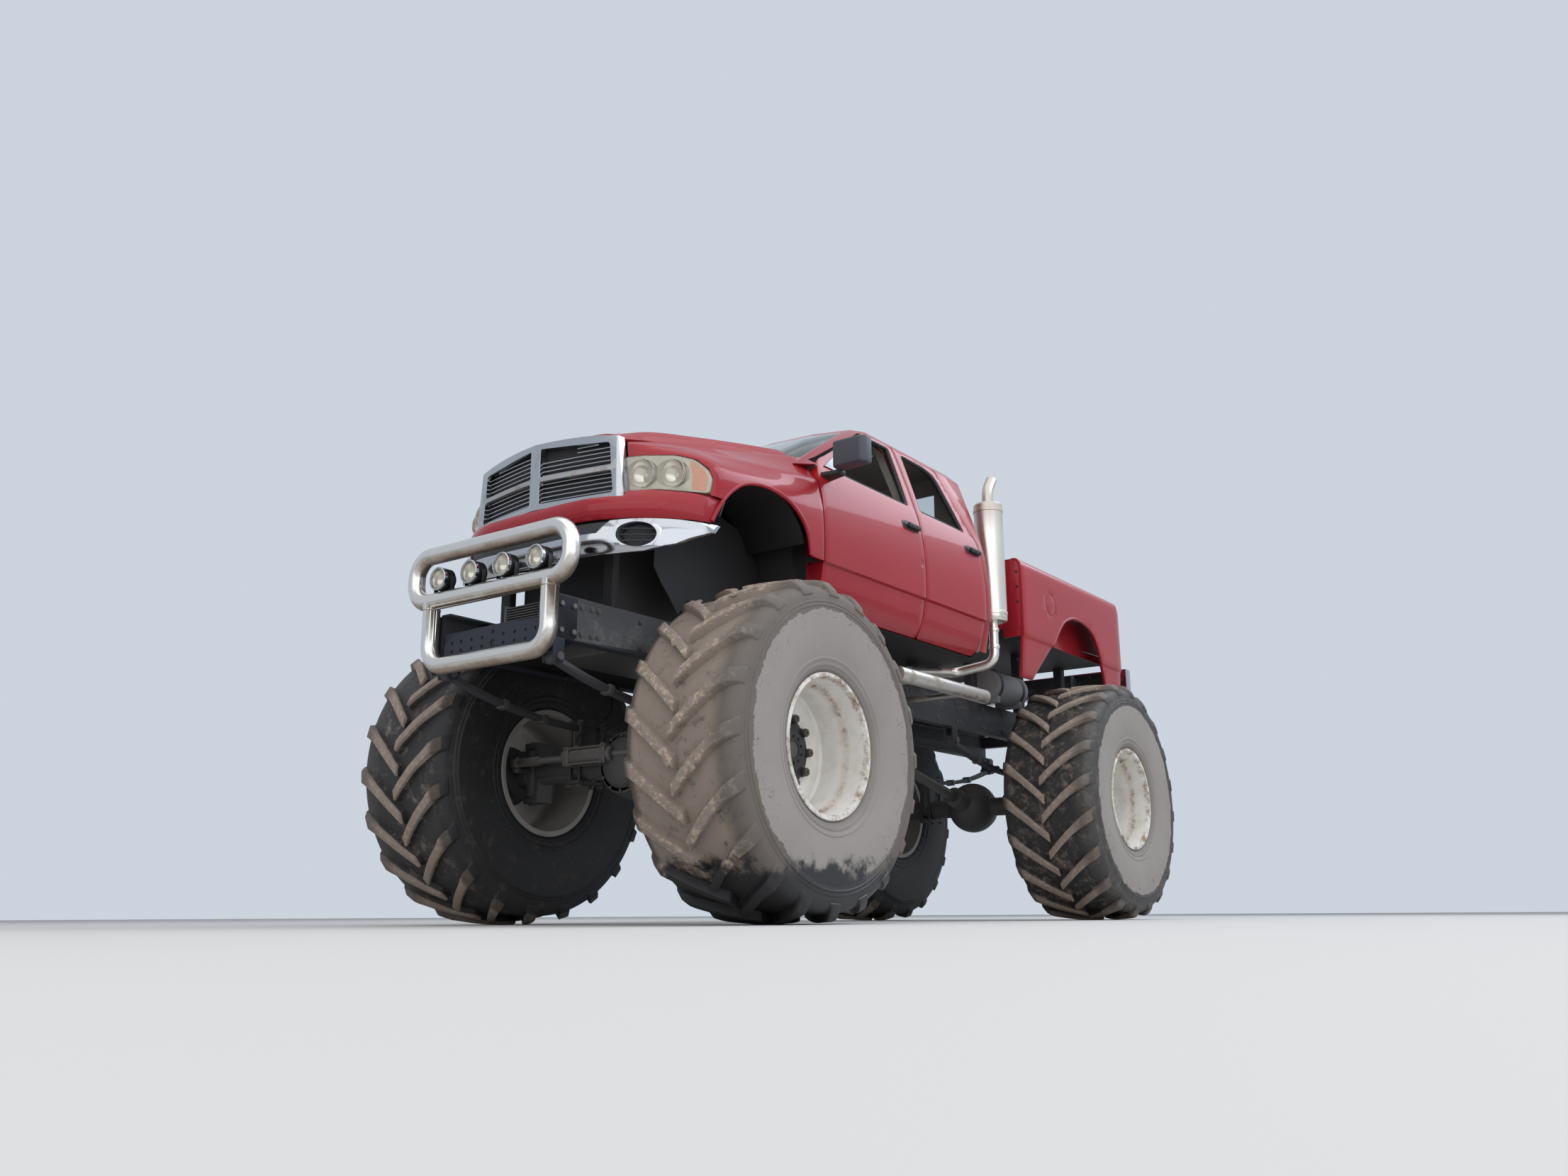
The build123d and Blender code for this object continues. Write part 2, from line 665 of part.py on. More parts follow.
def cab():
    outer = lower_outer() + greenhouse(0)
    hollow = lower_inner(floor_top, 1560) + greenhouse(roof_wall)
    door_hollow = lower_inner(0, 1400) + greenhouse(roof_wall)
    shell = outer - hollow
    shell += body_front([(765, floor_bottom + 60), (765, belt_z), (-765, belt_z), (-765, floor_bottom + 60)],
                        1470, 1560)
    shell += body_plan([(1262, 0), (1302, 479), (1408, 765), (1520, 765), (1520, -765), (1408, -765),
                        (1302, -479)], belt_z - 30, belt_z + 1)
    post = body_front([(785, 480), (840, 480), (850, 1200), (866, belt_z), (688, 1800), (600, 1888),
                       (592, 1900), (540, 1900), (630, 1790), (811, belt_z), (795, 1200)], 2695, 2775)
    hem_zone = greenhouse(door_hem) + body_front(both_sides(door_hem_profile), 1400, 3700)
    doors, door_arms = {}, []
    for name, outline, window in (("front", front_door_outline, front_window),
                                  ("rear", rear_door_outline, rear_window_side)):
        door = common(outer, body_side(outline, 500, 1100)) - door_hollow
        rebate = body_side(outline, 500, 1100) - body_side(grown(outline, -door_inset), 490, 1110)
        door = door - body_side(window, 500, 1100) - common(rebate, hem_zone)
        edge = outline[0][0]
        door -= body_plan([(edge - 1, hinge_y - 2), (edge - 1, 1000), (edge + 26, 1000)], 430, 1310)
        arms = []
        for up in hinge_ups:
            door -= body_box(edge - 1, edge + 20, 840, hinge_y + 9, up - 25, up + 25)
            place = bx(edge + hinge_back)
            door += rod((place, hinge_y, bz(up - 26)), (place, hinge_y, bz(up + 26)), hinge_pin)
            arm = body_box(edge + 1.5, edge + 12.5, 838, hinge_y, up - 20, up + 20)
            arm += rod((place, hinge_y, bz(up - 20)), (place, hinge_y, bz(up + 20)), hinge_pin + 3)
            arm -= rod((place, hinge_y, bz(up - 21)), (place, hinge_y, bz(up + 21)),
                       hinge_pin + running_clearance)
            arms.append(arm)
        doors[name] = door
        door_arms += arms
        opening = grown(outline, door_gap)
        shell -= body_side(opening, 843, 1100) + mirrored(body_side(opening, 843, 1100))
        upper = common(body_side(opening, 500, 1100), body_box(1400, 3700, 400, 1200, belt_z, 2000))
        shell -= upper + mirrored(upper)
    shell += post + mirrored(post)
    for arm in door_arms:
        shell += arm + mirrored(arm)
    y = hood_hinge_y - 14
    ear = body_side([(1425, 1335), (1425, 1450), (1475, 1450), (1475, 1335)], y, y + 12)
    ear -= rod((bx(hood_hinge_back), y - 1, bz(hood_hinge_up)),
               (bx(hood_hinge_back), y + 13, bz(hood_hinge_up)), hood_pin + running_clearance)
    shell += ear + mirrored(ear)
    shell -= window_prism(screen_outline, 1200, 2500)
    shell -= window_prism(back_glass_outline, 3600, 3800)
    save("cab_shell", shell)
    outside, sail = mirror_piece()
    mirror_left = [outside - doors["front"], sail]
    save("mirror_left", mirror_left)
    save("mirror_right", [mirrored(piece) for piece in mirror_left])
    for name, door in doors.items():
        save(f"door_{name}_left", door)
        save(f"door_{name}_right", mirrored(door))
    skin = greenhouse(0) - greenhouse(glass_thickness)
    screen = common(skin, window_prism(screen_outline, 1200, 2500, -seat_gap))
    save("windscreen", screen)
    middle = cab_rear - roof_wall / 2
    glass = window_prism(back_glass_outline, middle - 4, middle + 4, -seat_gap)
    save("rear_window", glass)


# Front sheet metal

# back, centre up, shoulder y, shoulder up, edge y, edge up
hood_rows = [
    (40, 1200, 390, 1199, 540, 1170),
    (200, 1268, 428, 1262, 550, 1200),
    (450, 1345, 470, 1331, 566, 1250),
    (800, 1420, 510, 1398, 598, 1312),
    (1180, 1480, 570, 1455, 688, 1358),
    (1486, 1515, 630, 1485, 748, 1418),
]

# back, then y and up of the shut line, crease, upper side, side and lower edge
fender_rows = [
    (200, 552, 1180, 562, 1165, 568, 1085, 574, 880, 690, 700),
    (310, 558, 1212, 682, 1160, 760, 1082, 768, 875, 872, 700),
    (455, 572, 1252, 772, 1166, 915, 1060, 936, 870, 938, 700),
    (600, 585, 1280, 815, 1172, 957, 1040, 972, 870, 962, 700),
    (950, 646, 1337, 872, 1196, 972, 1050, 984, 870, 984, 705),
    (1509, 760, 1424, 930, 1225, 975, 1050, 985, 870, 982, 700),
]

arch_front = [(465, 640), (480, 700), (556, 843), (650, 940), (760, 1000), (950, 1030), (1150, 1000),
              (1290, 920), (1352, 826), (1380, 700), (1385, 640)]


def hood():
    sections = []
    for back, centre, shoulder_y, shoulder, edge_y, edge in hood_rows:
        right = [(edge_y - shut_gap / 2, edge), (shoulder_y, shoulder), (0, centre)]
        top = right + [(-y, up) for y, up in reversed(right) if y > 0]
        under = [(y - 14 * math.copysign(1, y) if abs(y) > shoulder_y else y, up - hood_thickness)
                 for y, up in reversed(top)]
        sections.append([(bx(back), y, bz(up)) for y, up in top + under])
    panel = ruled(sections)
    plan = [(62, 0), (172, 560), (172, 800), (1484, 800), (1440, 450), (1430, 0)]
    panel = common(panel, body_plan(whole_plan(plan), 900, 1700))
    back, up = hood_hinge_back, hood_hinge_up
    lug = body_box(back - 22, back + 5, hood_hinge_y, hood_hinge_y + 16, up - 14, up + 45)
    lug += rod((bx(back), hood_hinge_y - 13, bz(up)), (bx(back), hood_hinge_y + 16, bz(up)), hood_pin)
    return panel + lug + mirrored(lug)


def fender():
    sections = []
    for row in fender_rows:
        back, places = row[0], list(zip(row[1::2], row[2::2]))
        places[0] = (places[0][0] + shut_gap / 2, places[0][1])
        under = [(y - panel_y, up - panel_z) for y, up in reversed(places[1:])]
        under.append((places[0][0], places[0][1] - panel_z))
        sections.append([(bx(back), y, bz(up)) for y, up in places + under])
    panel = ruled(sections)
    panel -= body_side(arch_front, 400, 1100)
    panel -= body_box(0, 1600, 0, 1100, 500, 702)
    panel -= body_front(grille_room, 0, 260) + body_front(nose_room, 0, 620)
    return common(panel, body_box(100, 1509, 400, 1100, 600, 1600)) - greenhouse(-shut_gap)


grille_half = [(0, 1233), (553, 1198), (595, 840), (0, 840)]
# Grille windows: inner y, outer y at the bottom and the top, bottom up, top up
grille_windows = [(40, 528, 512, 1052, 1156), (40, 550, 535, 884, 1000)]
grille_room = [(0, 1240), (556, 1204), (598, 838), (0, 838)]
lamp_front = [(556, 893), (750, 877), (850, 880), (936, 925), (942, 1000), (850, 1070), (750, 1084),
              (556, 1082)]

# The panel under the grille and lamps, from the middle out: y, up of its face; back, y of its front in plan
valance_half = [(0, 712), (700, 706), (966, 706), (966, 844), (853, 880), (840, 895), (606, 895), (606, 834),
                (0, 834)]
valance_plan = [(12, 0), (25, 400), (105, 600), (150, 690), (290, 850), (440, 925), (480, 940), (560, 956)]
valance_back_plan = [(600, 926), (500, 908), (455, 893), (310, 822), (175, 665), (130, 590), (55, 400),
                     (44, 0)]
nose_room = [(540, 690), (540, 901), (836, 901), (853, 887), (1000, 839), (1000, 690)]


def headlamp(gap):
    plan = [(186, 556), (298, 756), (458, 945), (560, 945), (560, 840), (330, 556)]
    block = body_plan(plan, 860, 1100)
    front = body_front(grown(lamp_front, gap), 100, 600)
    block = common(block, front)
    return block - body_front(grille_room, 0, 260)


def valance():
    half = common(body_plan(valance_plan + valance_back_plan, 700, 900), body_front(valance_half, 0, 620))
    half -= headlamp(0.5) + body_side(arch_front, 400, 1100)
    half += body_box(45, 230 - seat_gap, 385, 440, 750, 800)
    return half + mirrored(half)


def front_end():
    save("hood", hood())
    wing = fender() - headlamp(0.5)
    save("fenders", pair(wing))
    save("headlamps", pair(headlamp(0) - wing))
    save("grille", grille())
    save("valance", valance())
    save("front_bumper", bumper())
    save("bumper_insert", insert())


def grille_band(front, depth):
    middle, edge = 36 + front, 144 + front
    return body_plan([(middle, 0), (edge, 600), (edge + depth, 600), (middle + depth, 0),
                      (edge + depth, -600), (edge, -600)], 800, 1300)


def grille():
    plate = body_front(both_sides(grille_half[:3]), -50, 500)
    surround = common(plate, grille_band(0, 55))
    for side in (1, -1):
        for inner, outer_low, outer_high, low, high in grille_windows:
            hole = [(side * inner, high + (28 if high > 1100 else 0)), (side * outer_high, high),
                    (side * outer_low, low), (side * inner, low)]
            surround -= body_front(hole, -50, 500)
    slats = None
    for row in range(13):
        up = 896 + row * 22
        slat = body_front([(570, up), (570, up + 9), (-570, up + 9), (-570, up)], -50, 500)
        slats = slat if slats is None else slats + slat
    slats = common(common(slats, plate), grille_band(22, 26))
    return surround + slats - hood()


bumper_plan = [(0, 0), (10, 400), (60, 560), (133, 683), (280, 850), (482, 936)]


def bumper_band(front, thick, up0, up1):
    outer = [(back + front, y) for back, y in bumper_plan]
    inner = [(back + front + thick, max(y - thick * 0.6, 0)) for back, y in reversed(bumper_plan)]
    inner[-1] = (front + thick, 0)
    half = body_plan(outer + inner, up0, up1)
    return half + mirrored(half)


def bumper():
    band = bumper_band(0, 36, 480, 710)
    face = [(0, 494), (600, 505), (720, 516), (850, 560), (945, 655), (945, 698), (700, 700), (560, 690),
            (500, 620), (0, 617)]
    band = common(band, body_front(both_sides(face), -50, 700))
    for side in (1, -1):
        hole = extrude(Plane(origin=(bx(400), side * fog_y, bz(fog_up)), z_dir=(1, 0, 0))
                       * Ellipse(fog_half_width, fog_half_height), amount=500)
        band -= hole
    arm = body_box(30, 230 - seat_gap, 385, 440, 560, 610)
    return band + arm + mirrored(arm)


def insert():
    band = bumper_band(10, 20, 600, 700)
    face = [(0, 618), (499, 621), (556, 688), (0, 694)]
    return common(band, body_front(both_sides(face), -50, 700)) - bumper()


# Bed

bed_side_outline = [(4232, 385), (4232, 1335), (6090, 1335), (6180, 1302), (6225, 1215), (6210, 760),
                    (6150, 552), (5843, 528), (5800, 640), (5700, 745), (5650, 880), (5560, 960), (5400, 1005),
                    (5200, 1010), (5020, 950), (4900, 860), (4760, 706), (4570, 538), (4412, 385)]
bed_profile = [(985, 1240), (979, 1285), (958, 1320), (925, 1335), (800, 1335), (800, 1300), (920, 1300),
               (948, 1280), (957, 1235), (957, 770), (957, 706), (925, 385), (950, 385), (978, 690),
               (985, 712), (985, 770)]


def bed():
    side = body_front(bed_profile, bed_front, bed_rear + 20)
    for back in (bed_front, bed_rear - 30):
        side += body_front([(802, 1302), (802, 706), (958, 706), (958, 1302)], back, back + 20)
    side = common(side, body_side(bed_side_outline, 700, 1100))
    save("bed_sides", pair(side))
    tub = body_box(bed_front, bed_floor_rear, -799.7, 799.7, 780, bed_floor_up)
    ear = body_side([(6190, 790), (6190, 862), (6262, 862), (6262, 790)], 765, 799.7)
    ear -= rod((bx(gate_hinge_back), 760, bz(gate_hinge_up)), (bx(gate_hinge_back), 801, bz(gate_hinge_up)),
               gate_pin + running_clearance)
    wall = body_box(bed_front, bed_rear, 760, 799.7, 780, 1334) + ear
    tub += wall + mirrored(wall)
    tub += body_box(bed_front, bed_front + 40, -799, 799, bed_floor_up - 1, 1334)
    save("bed_tub", tub)
    gate = body_box(bed_rear + 8, bed_rear + 64, -752, 752, 806, 1330)
    gate += rod((bx(gate_hinge_back), -796, bz(gate_hinge_up)),
                (bx(gate_hinge_back), 796, bz(gate_hinge_up)), gate_pin)
    save("tailgate", gate)
    lamp = body_box(bed_rear - 10 + seat_gap, bed_rear + 12, 815, 948, 900, 1240)
    save("tail_lamps", pair(lamp))
    bar = box(-3360, -3260, -960, 960, bz(560), bz(750))
    plate = prism_y([(-3080, 1480), (-3180, 1480), (-3262, bz(580)), (-3262, bz(735)), (-3200, bz(735)),
                     (-3080, rail_top_z)], rail_outer_y + seat_gap, rail_outer_y + 14)
    save("rear_bumper", bar + plate + mirrored(plate))


def cab_inside():
    seats = []
    for y in (-400, 400):
        cushion = body_side([(2050, floor_top), (2050, 660), (2480, 640), (2560, 1250), (2680, 1250),
                             (2640, floor_top)], y - 260, y + 260)
        seats.append(cushion)
    seats.append(body_side([(2950, floor_top), (2950, 660), (3380, 640), (3440, 1220), (3560, 1220),
                            (3540, floor_top)], -700, 700))
    save("seats", seats)
    dash = body_side([(1560, 900), (1560, 1230), (1720, 1230), (1830, 1120), (1800, 920)], -770, 770)
    save("dashboard", dash)
    middle = Vector(bx(1990), 400, bz(1105))
    base = Vector(bx(1826), 400, bz(1040))
    way = (middle - base).normalized()
    wheel = Plane(origin=middle, z_dir=way) * Torus(190, 14)
    hub = rod(base, middle + way * 16, 26)
    for turn in range(3):
        angle = math.radians(90 + 120 * turn)
        plane = Plane(origin=middle, x_dir=(0, 1, 0), z_dir=way)
        rim_point = plane.from_local_coords(Vector(185 * math.cos(angle), 185 * math.sin(angle), 0))
        hub += rod(middle, rim_point, 10)
    hub -= dash
    save("steering_wheel", wheel + hub)


def mirror_piece():
    arm = body_plan([(1575, 885), (1680, 885), (1625, 1075), (1560, 1075)], 1266, 1298)
    head = body_plan([(1512, 1050), (1500, 1080), (1505, 1265), (1530, 1290), (1598, 1290), (1604, 1040)],
                     1285, 1465)
    sail = common(greenhouse(-mirror_sail) - greenhouse(0), body_side(mirror_sail_outline, 700, 1100))
    return arm + head, sail


def liners():
    middle_back, middle_up, radius = 955, 640, 432
    angles = [math.radians(turn) for turn in range(20, 165, 16)]
    ring = []
    for size in (radius, radius - 12):
        ring.append([(middle_back + size * math.cos(angle), middle_up + size * math.sin(angle))
                     for angle in angles])
    return body_side(ring[0] + ring[1][::-1], 500, 944) - fender() - valance()


def supports():
    blocks = []
    for back in (1700, 2700, 3500):
        blocks.append(rod((bx(back), rail_mid_y, rail_top_z), (bx(back), rail_mid_y, bz(floor_bottom)), 45))
    for back in (4400, 5250, 6100):
        blocks.append(box(bx(back) - 40, bx(back) + 40, rail_inner_y, rail_outer_y, rail_top_z, bz(780)))
    save("body_mounts", [piece for block in blocks for piece in pair(block)])
    leg = box(bx(280), bx(230), rail_inner_y, rail_outer_y, rail_top_z, bz(1150))
    bar = body_box(230, 280, -526, 526, 1105, 1150)
    save("core_support", leg + mirrored(leg) + bar)


def stacks():
    x, y = stack_x, stack_y
    can = rod((x, y, bz(stack_bottom)), (x, y, bz(stack_top)), stack_radius)
    tip = bent_tube([(x, y, bz(stack_top) - 1), (x, y, bz(stack_top) + 130), (x - 70, y, bz(stack_tip))],
                    pipe_radius + 14, 60)
    pipe = bent_tube([(x, y, bz(stack_bottom) + 1), (x, y, bz(460)), (x + 90, 560, bz(400)),
                      (x + 700, 520, bz(330))], pipe_radius, 60)
    strap = box(x + 530, x + 570, rail_outer_y - 50, 535, rail_top_z + seat_gap, bz(355))
    save("exhaust", pair(can + tip + pipe + strap))


def side_steps():
    z = bz(130)
    tube = rod((bx(2330), 985, z), (bx(3520), 985, z), 50)
    for back in (2600, 3300):
        tube += rod((bx(back), rail_outer_y + seat_gap, z), (bx(back), 985, z), 24)
    save("side_steps", pair(tube))


def main():
    wheels()
    save("frame", frame())
    save("springs_front", springs(front_axle_x))
    save("springs_rear", springs(rear_axle_x))
    save("front_axle", front_axle())
    save("rear_axle", rear_axle())
    save("knuckle_left", knuckle())
    save("knuckle_right", mirrored(knuckle()))
    save("steering_cylinder", steering_cylinder())
    save("steering_rod", steering_rod())
    driveline()
    radiator()
    fuel_tank()
    save("bull_bar", bull_bar())
    save("spot_lamps", spot_lamps())
    cab()
    front_end()
    cab_inside()
    save("arch_liners", pair(liners()))
    bed()
    supports()
    stacks()
    side_steps()


main()
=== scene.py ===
import bpy
import math
import random
from mathutils import Matrix, Vector


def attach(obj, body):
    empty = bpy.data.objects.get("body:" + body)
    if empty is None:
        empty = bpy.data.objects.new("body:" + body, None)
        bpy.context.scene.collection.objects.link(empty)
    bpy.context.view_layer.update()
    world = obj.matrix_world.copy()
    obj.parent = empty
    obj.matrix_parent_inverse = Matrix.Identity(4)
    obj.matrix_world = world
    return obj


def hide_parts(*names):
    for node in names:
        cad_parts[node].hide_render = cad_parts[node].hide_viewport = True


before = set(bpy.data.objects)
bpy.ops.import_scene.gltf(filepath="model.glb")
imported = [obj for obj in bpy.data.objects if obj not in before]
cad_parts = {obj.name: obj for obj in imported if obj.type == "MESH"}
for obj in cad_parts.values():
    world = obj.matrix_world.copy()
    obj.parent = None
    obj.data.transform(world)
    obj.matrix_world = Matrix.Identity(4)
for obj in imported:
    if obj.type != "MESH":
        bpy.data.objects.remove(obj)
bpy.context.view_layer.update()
random.seed(7)

# Metres. X runs forward, Y to the left, Z up. The body's own places count back from its
# front face and up from its datum.
body = {"faceX": 3.060, "datumZ": 1.430, "doorInset": 0.018}
bothSides = (("left", 1), ("right", -1))


def bx(back):
    return body["faceX"] - back


def bz(up):
    return body["datumZ"] + up


def at(back, y, up):
    return bx(back), y, bz(up)


# Mesh tools

def clearSelection():
    if bpy.context.object and bpy.context.object.mode != "OBJECT":
        bpy.ops.object.mode_set(mode="OBJECT")
    bpy.ops.object.select_all(action="DESELECT")


def choose(obj):
    clearSelection()
    obj.select_set(True)
    bpy.context.view_layer.objects.active = obj


def edit(obj):
    choose(obj)
    bpy.ops.object.mode_set(mode="EDIT")
    bpy.ops.mesh.select_all(action="SELECT")


def leaveEdit():
    bpy.ops.object.mode_set(mode="OBJECT")


def modify(obj, kind, **settings):
    choose(obj)
    made = obj.modifiers.new(kind, kind)
    for key, value in settings.items():
        setattr(made, key, value)
    bpy.ops.object.modifier_apply(modifier=made.name)


def bevel(obj, width, segments=2, angle=40):
    modify(obj, "BEVEL", width=width, segments=segments, limit_method="ANGLE",
           angle_limit=math.radians(angle), harden_normals=False)


def faceOut(obj):
    edit(obj)
    bpy.ops.mesh.normals_make_consistent(inside=False)
    leaveEdit()


def tidyMesh(obj, distance=0.0002):
    edit(obj)
    bpy.ops.mesh.remove_doubles(threshold=distance)
    bpy.ops.mesh.normals_make_consistent(inside=False)
    leaveEdit()


def shadeSmooth(obj, angle=35):
    choose(obj)
    bpy.ops.object.shade_smooth_by_angle(angle=math.radians(angle))


def newest(name):
    obj = bpy.context.object
    obj.name = name
    obj.data.name = name
    return obj


def settle(obj):
    # The place goes into the mesh, and the object stays at the origin
    choose(obj)
    bpy.ops.object.transform_apply(location=True, rotation=True, scale=True)


def joined(objs, name):
    clearSelection()
    for obj in objs:
        obj.select_set(True)
    bpy.context.view_layer.objects.active = objs[0]
    if len(objs) > 1:
        bpy.ops.object.join()
    return newest(name)


def cut(obj, tool, operation="DIFFERENCE"):
    modify(obj, "BOOLEAN", operation=operation, object=tool, solver="EXACT")
    bpy.data.objects.remove(tool)


def copyOf(obj, name):
    choose(obj)
    bpy.ops.object.duplicate()
    return newest(name)


def flipSide(obj):
    # Puts the mesh on the other side of the middle plane
    obj.data.transform(Matrix.Scale(-1, 4, (0, 1, 0)))
    obj.data.flip_normals()
    return obj


def mirroredCopy(obj, name):
    return flipSide(copyOf(obj, name))


def sideCopy(obj, name, sign):
    return copyOf(obj, name) if sign > 0 else mirroredCopy(obj, name)


def turned(obj, angle, axis, place):
    # Turns the mesh about the origin, then moves it to its place
    obj.data.transform(Matrix.Rotation(angle, 4, axis))
    obj.data.transform(Matrix.Translation(place))
    return obj


def turnedForward(obj, place):
    # What was turned on the lathe round Y now points forward
    return turned(obj, -math.pi / 2, "Z", place)


def finish(obj, bodyName, look, replaced=(), angle=35):
    settle(obj)
    shadeSmooth(obj, angle)
    if look:
        obj.data.materials.clear()
        obj.data.materials.append(materials[look])
    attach(obj, bodyName)
    if replaced:
        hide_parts(*replaced)


def onAxis(axis, value):
    spot = [0.0, 0.0, 0.0]
    spot[axis] = value
    return spot


def prism(points, axis, low, high, name):
    # An outline in the two other axes, in their order, pulled out along the axis
    bpy.ops.mesh.primitive_circle_add(vertices=len(points), radius=1, fill_type="NGON")
    obj = newest(name)
    first, second = [place for place in range(3) if place != axis]
    for vert, point in zip(obj.data.vertices, points):
        spot = onAxis(axis, low)
        spot[first], spot[second] = point
        vert.co = spot
    edit(obj)
    bpy.ops.mesh.extrude_region_move(TRANSFORM_OT_translate={"value": onAxis(axis, high - low)})
    leaveEdit()
    faceOut(obj)
    return obj


def slicedAt(obj, axis, places):
    edit(obj)
    for place in places:
        bpy.ops.mesh.select_all(action="SELECT")
        bpy.ops.mesh.bisect(plane_co=onAxis(axis, place), plane_no=onAxis(axis, 1.0))
    leaveEdit()


def sliced(obj, axis, step):
    # Cuts the mesh by evenly spaced planes, so that it can take a curved form
    values = [vert.co[axis] for vert in obj.data.vertices]
    low, high = min(values), max(values)
    count = max(int((high - low) / step), 1)
    slicedAt(obj, axis, [low + (high - low) * place / count for place in range(1, count)])


def smoothLine(points, value):
    # A smooth curve through (place, height) points, read at a place
    if value <= points[0][0]:
        return points[0][1]
    if value >= points[-1][0]:
        return points[-1][1]
    for index in range(len(points) - 1):
        x0, y0 = points[index]
        x1, y1 = points[index + 1]
        if value <= x1:
            slope = (y1 - y0) / (x1 - x0)
            before = points[index - 1] if index else points[0]
            after = points[index + 2] if index + 2 < len(points) else points[-1]
            m0 = (y1 - before[1]) / (x1 - before[0]) if index else slope
            m1 = (after[1] - y0) / (after[0] - x0) if index + 2 < len(points) else slope
            t = (value - x0) / (x1 - x0)
            width = x1 - x0
            return ((2 * t ** 3 - 3 * t ** 2 + 1) * y0 + (t ** 3 - 2 * t ** 2 + t) * m0 * width
                    + (3 * t ** 2 - 2 * t ** 3) * y1 + (t ** 3 - t ** 2) * m1 * width)


def easing(value, low, high):
    t = min(max((value - low) / (high - low), 0.0), 1.0)
    return t * t * (3 - 2 * t)


def lathe(profile, steps, name):
    # The profile holds (radius, y) and is turned round the Y axis
    bpy.ops.mesh.primitive_circle_add(vertices=len(profile), radius=1, fill_type="NOTHING")
    obj = newest(name)
    for vert, (radius, y) in zip(obj.data.vertices, profile):
        vert.co = (radius, y, 0.0)
    edit(obj)
    bpy.ops.mesh.spin(steps=steps, angle=2 * math.pi, center=(0, 0, 0), axis=(0, 1, 0))
    leaveEdit()
    tidyMesh(obj, 0.0001)
    return obj


def bar(start, end, radius, name, sides=24, bevelWidth=0.0):
    start, end = Vector(start), Vector(end)
    way = end - start
    bpy.ops.mesh.primitive_cylinder_add(vertices=sides, radius=radius, depth=way.length)
    obj = newest(name)
    turn = way.to_track_quat("Z", "Y").to_matrix().to_4x4()
    obj.data.transform(Matrix.Translation((start + end) / 2) @ turn)
    if bevelWidth:
        bevel(obj, bevelWidth)
    return obj


def block(first, second, name, bevelWidth=0.0, segments=2):
    # A box between two opposite corners
    size = [abs(b - a) for a, b in zip(first, second)]
    middle = [(a + b) / 2 for a, b in zip(first, second)]
    bpy.ops.mesh.primitive_cube_add(size=1)
    obj = newest(name)
    obj.data.transform(Matrix.Translation(middle) @ Matrix.Diagonal((*size, 1)))
    if bevelWidth:
        bevel(obj, bevelWidth, segments)
    return obj


def corner(before, here, after, bend, most, steps):
    # A curve round a corner, which takes at most a share of either side
    reach = min(bend, (before - here).length * most, (after - here).length * most)
    first = here + (before - here).normalized() * reach
    last = here + (after - here).normalized() * reach
    shares = [step / steps for step in range(steps + 1)]
    return [first * (1 - t) ** 2 + here * 2 * t * (1 - t) + last * t ** 2 for t in shares]


def tube(points, radius, name, bend, cyclic=False, sides=8):
    # A pipe along straight runs; sides counts the steps round each corner
    path = []
    count = len(points)
    for index, point in enumerate(points):
        here = Vector(point)
        if not cyclic and index in (0, count - 1):
            path.append(here)
            continue
        before, after = Vector(points[index - 1]), Vector(points[(index + 1) % count])
        path += corner(before, here, after, bend, 0.49, sides)
    curve = bpy.data.curves.new(name, "CURVE")
    curve.dimensions = "3D"
    curve.bevel_depth = radius
    curve.bevel_resolution = 6
    curve.use_fill_caps = True
    spline = curve.splines.new("POLY")
    spline.points.add(len(path) - 1)
    spline.use_cyclic_u = cyclic
    for spot, place in zip(spline.points, path):
        spot.co = (*place, 1)
    obj = bpy.data.objects.new(name, curve)
    bpy.context.scene.collection.objects.link(obj)
    choose(obj)
    bpy.ops.object.convert(target="MESH")
    obj = newest(name)
    tidyMesh(obj)
    return obj


def boltHead(place, way, radius, height, name):
    # A hexagon that stands out of a face by its height and goes a little way into it
    start, way = Vector(place), Vector(way)
    return bar(start - way * 0.004, start + way * height, radius, name, 6)


def refined(node, name, bevelWidth, segments=2, angle=40):
    # A copy of a node's own mesh with its points merged and its edges eased
    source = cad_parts[node]
    obj = source.copy()
    obj.data = source.data.copy()
    for key in list(obj.keys()):
        del obj[key]
    obj.parent = None
    obj.name = name
    obj.data.name = name
    bpy.context.scene.collection.objects.link(obj)
    obj.hide_render = False
    obj.hide_set(False)
    tidyMesh(obj, 0.00005)
    edit(obj)
    bpy.ops.mesh.dissolve_limited(angle_limit=math.radians(1.0))
    leaveEdit()
    if bevelWidth:
        bevel(obj, bevelWidth, segments, angle)
    return obj


def dressed(node, name, look, width, segments=2, sharp=40, smooth=40, bodyName="chassis"):
    # The refined copy as the piece that takes its node's place
    piece = refined(node, name, width, segments, sharp)
    finish(piece, bodyName, look, (node,), smooth)
    return piece


# Shader tools

class Value:
    def __init__(self, graph, socket):
        self.graph = graph
        self.socket = socket

    def maths(self, operation, first, second):
        return self.graph.node("Math", {"operation": operation}, {0: first, 1: second})

    def __add__(self, other):
        return self.maths("ADD", self, other)

    def __radd__(self, other):
        return self.maths("ADD", other, self)

    def __sub__(self, other):
        return self.maths("SUBTRACT", self, other)

    def __rsub__(self, other):
        return self.maths("SUBTRACT", other, self)

    def __mul__(self, other):
        return self.maths("MULTIPLY", self, other)

    def __truediv__(self, other):
        return self.maths("DIVIDE", self, other)

    def __pow__(self, other):
        return self.maths("POWER", self, other)


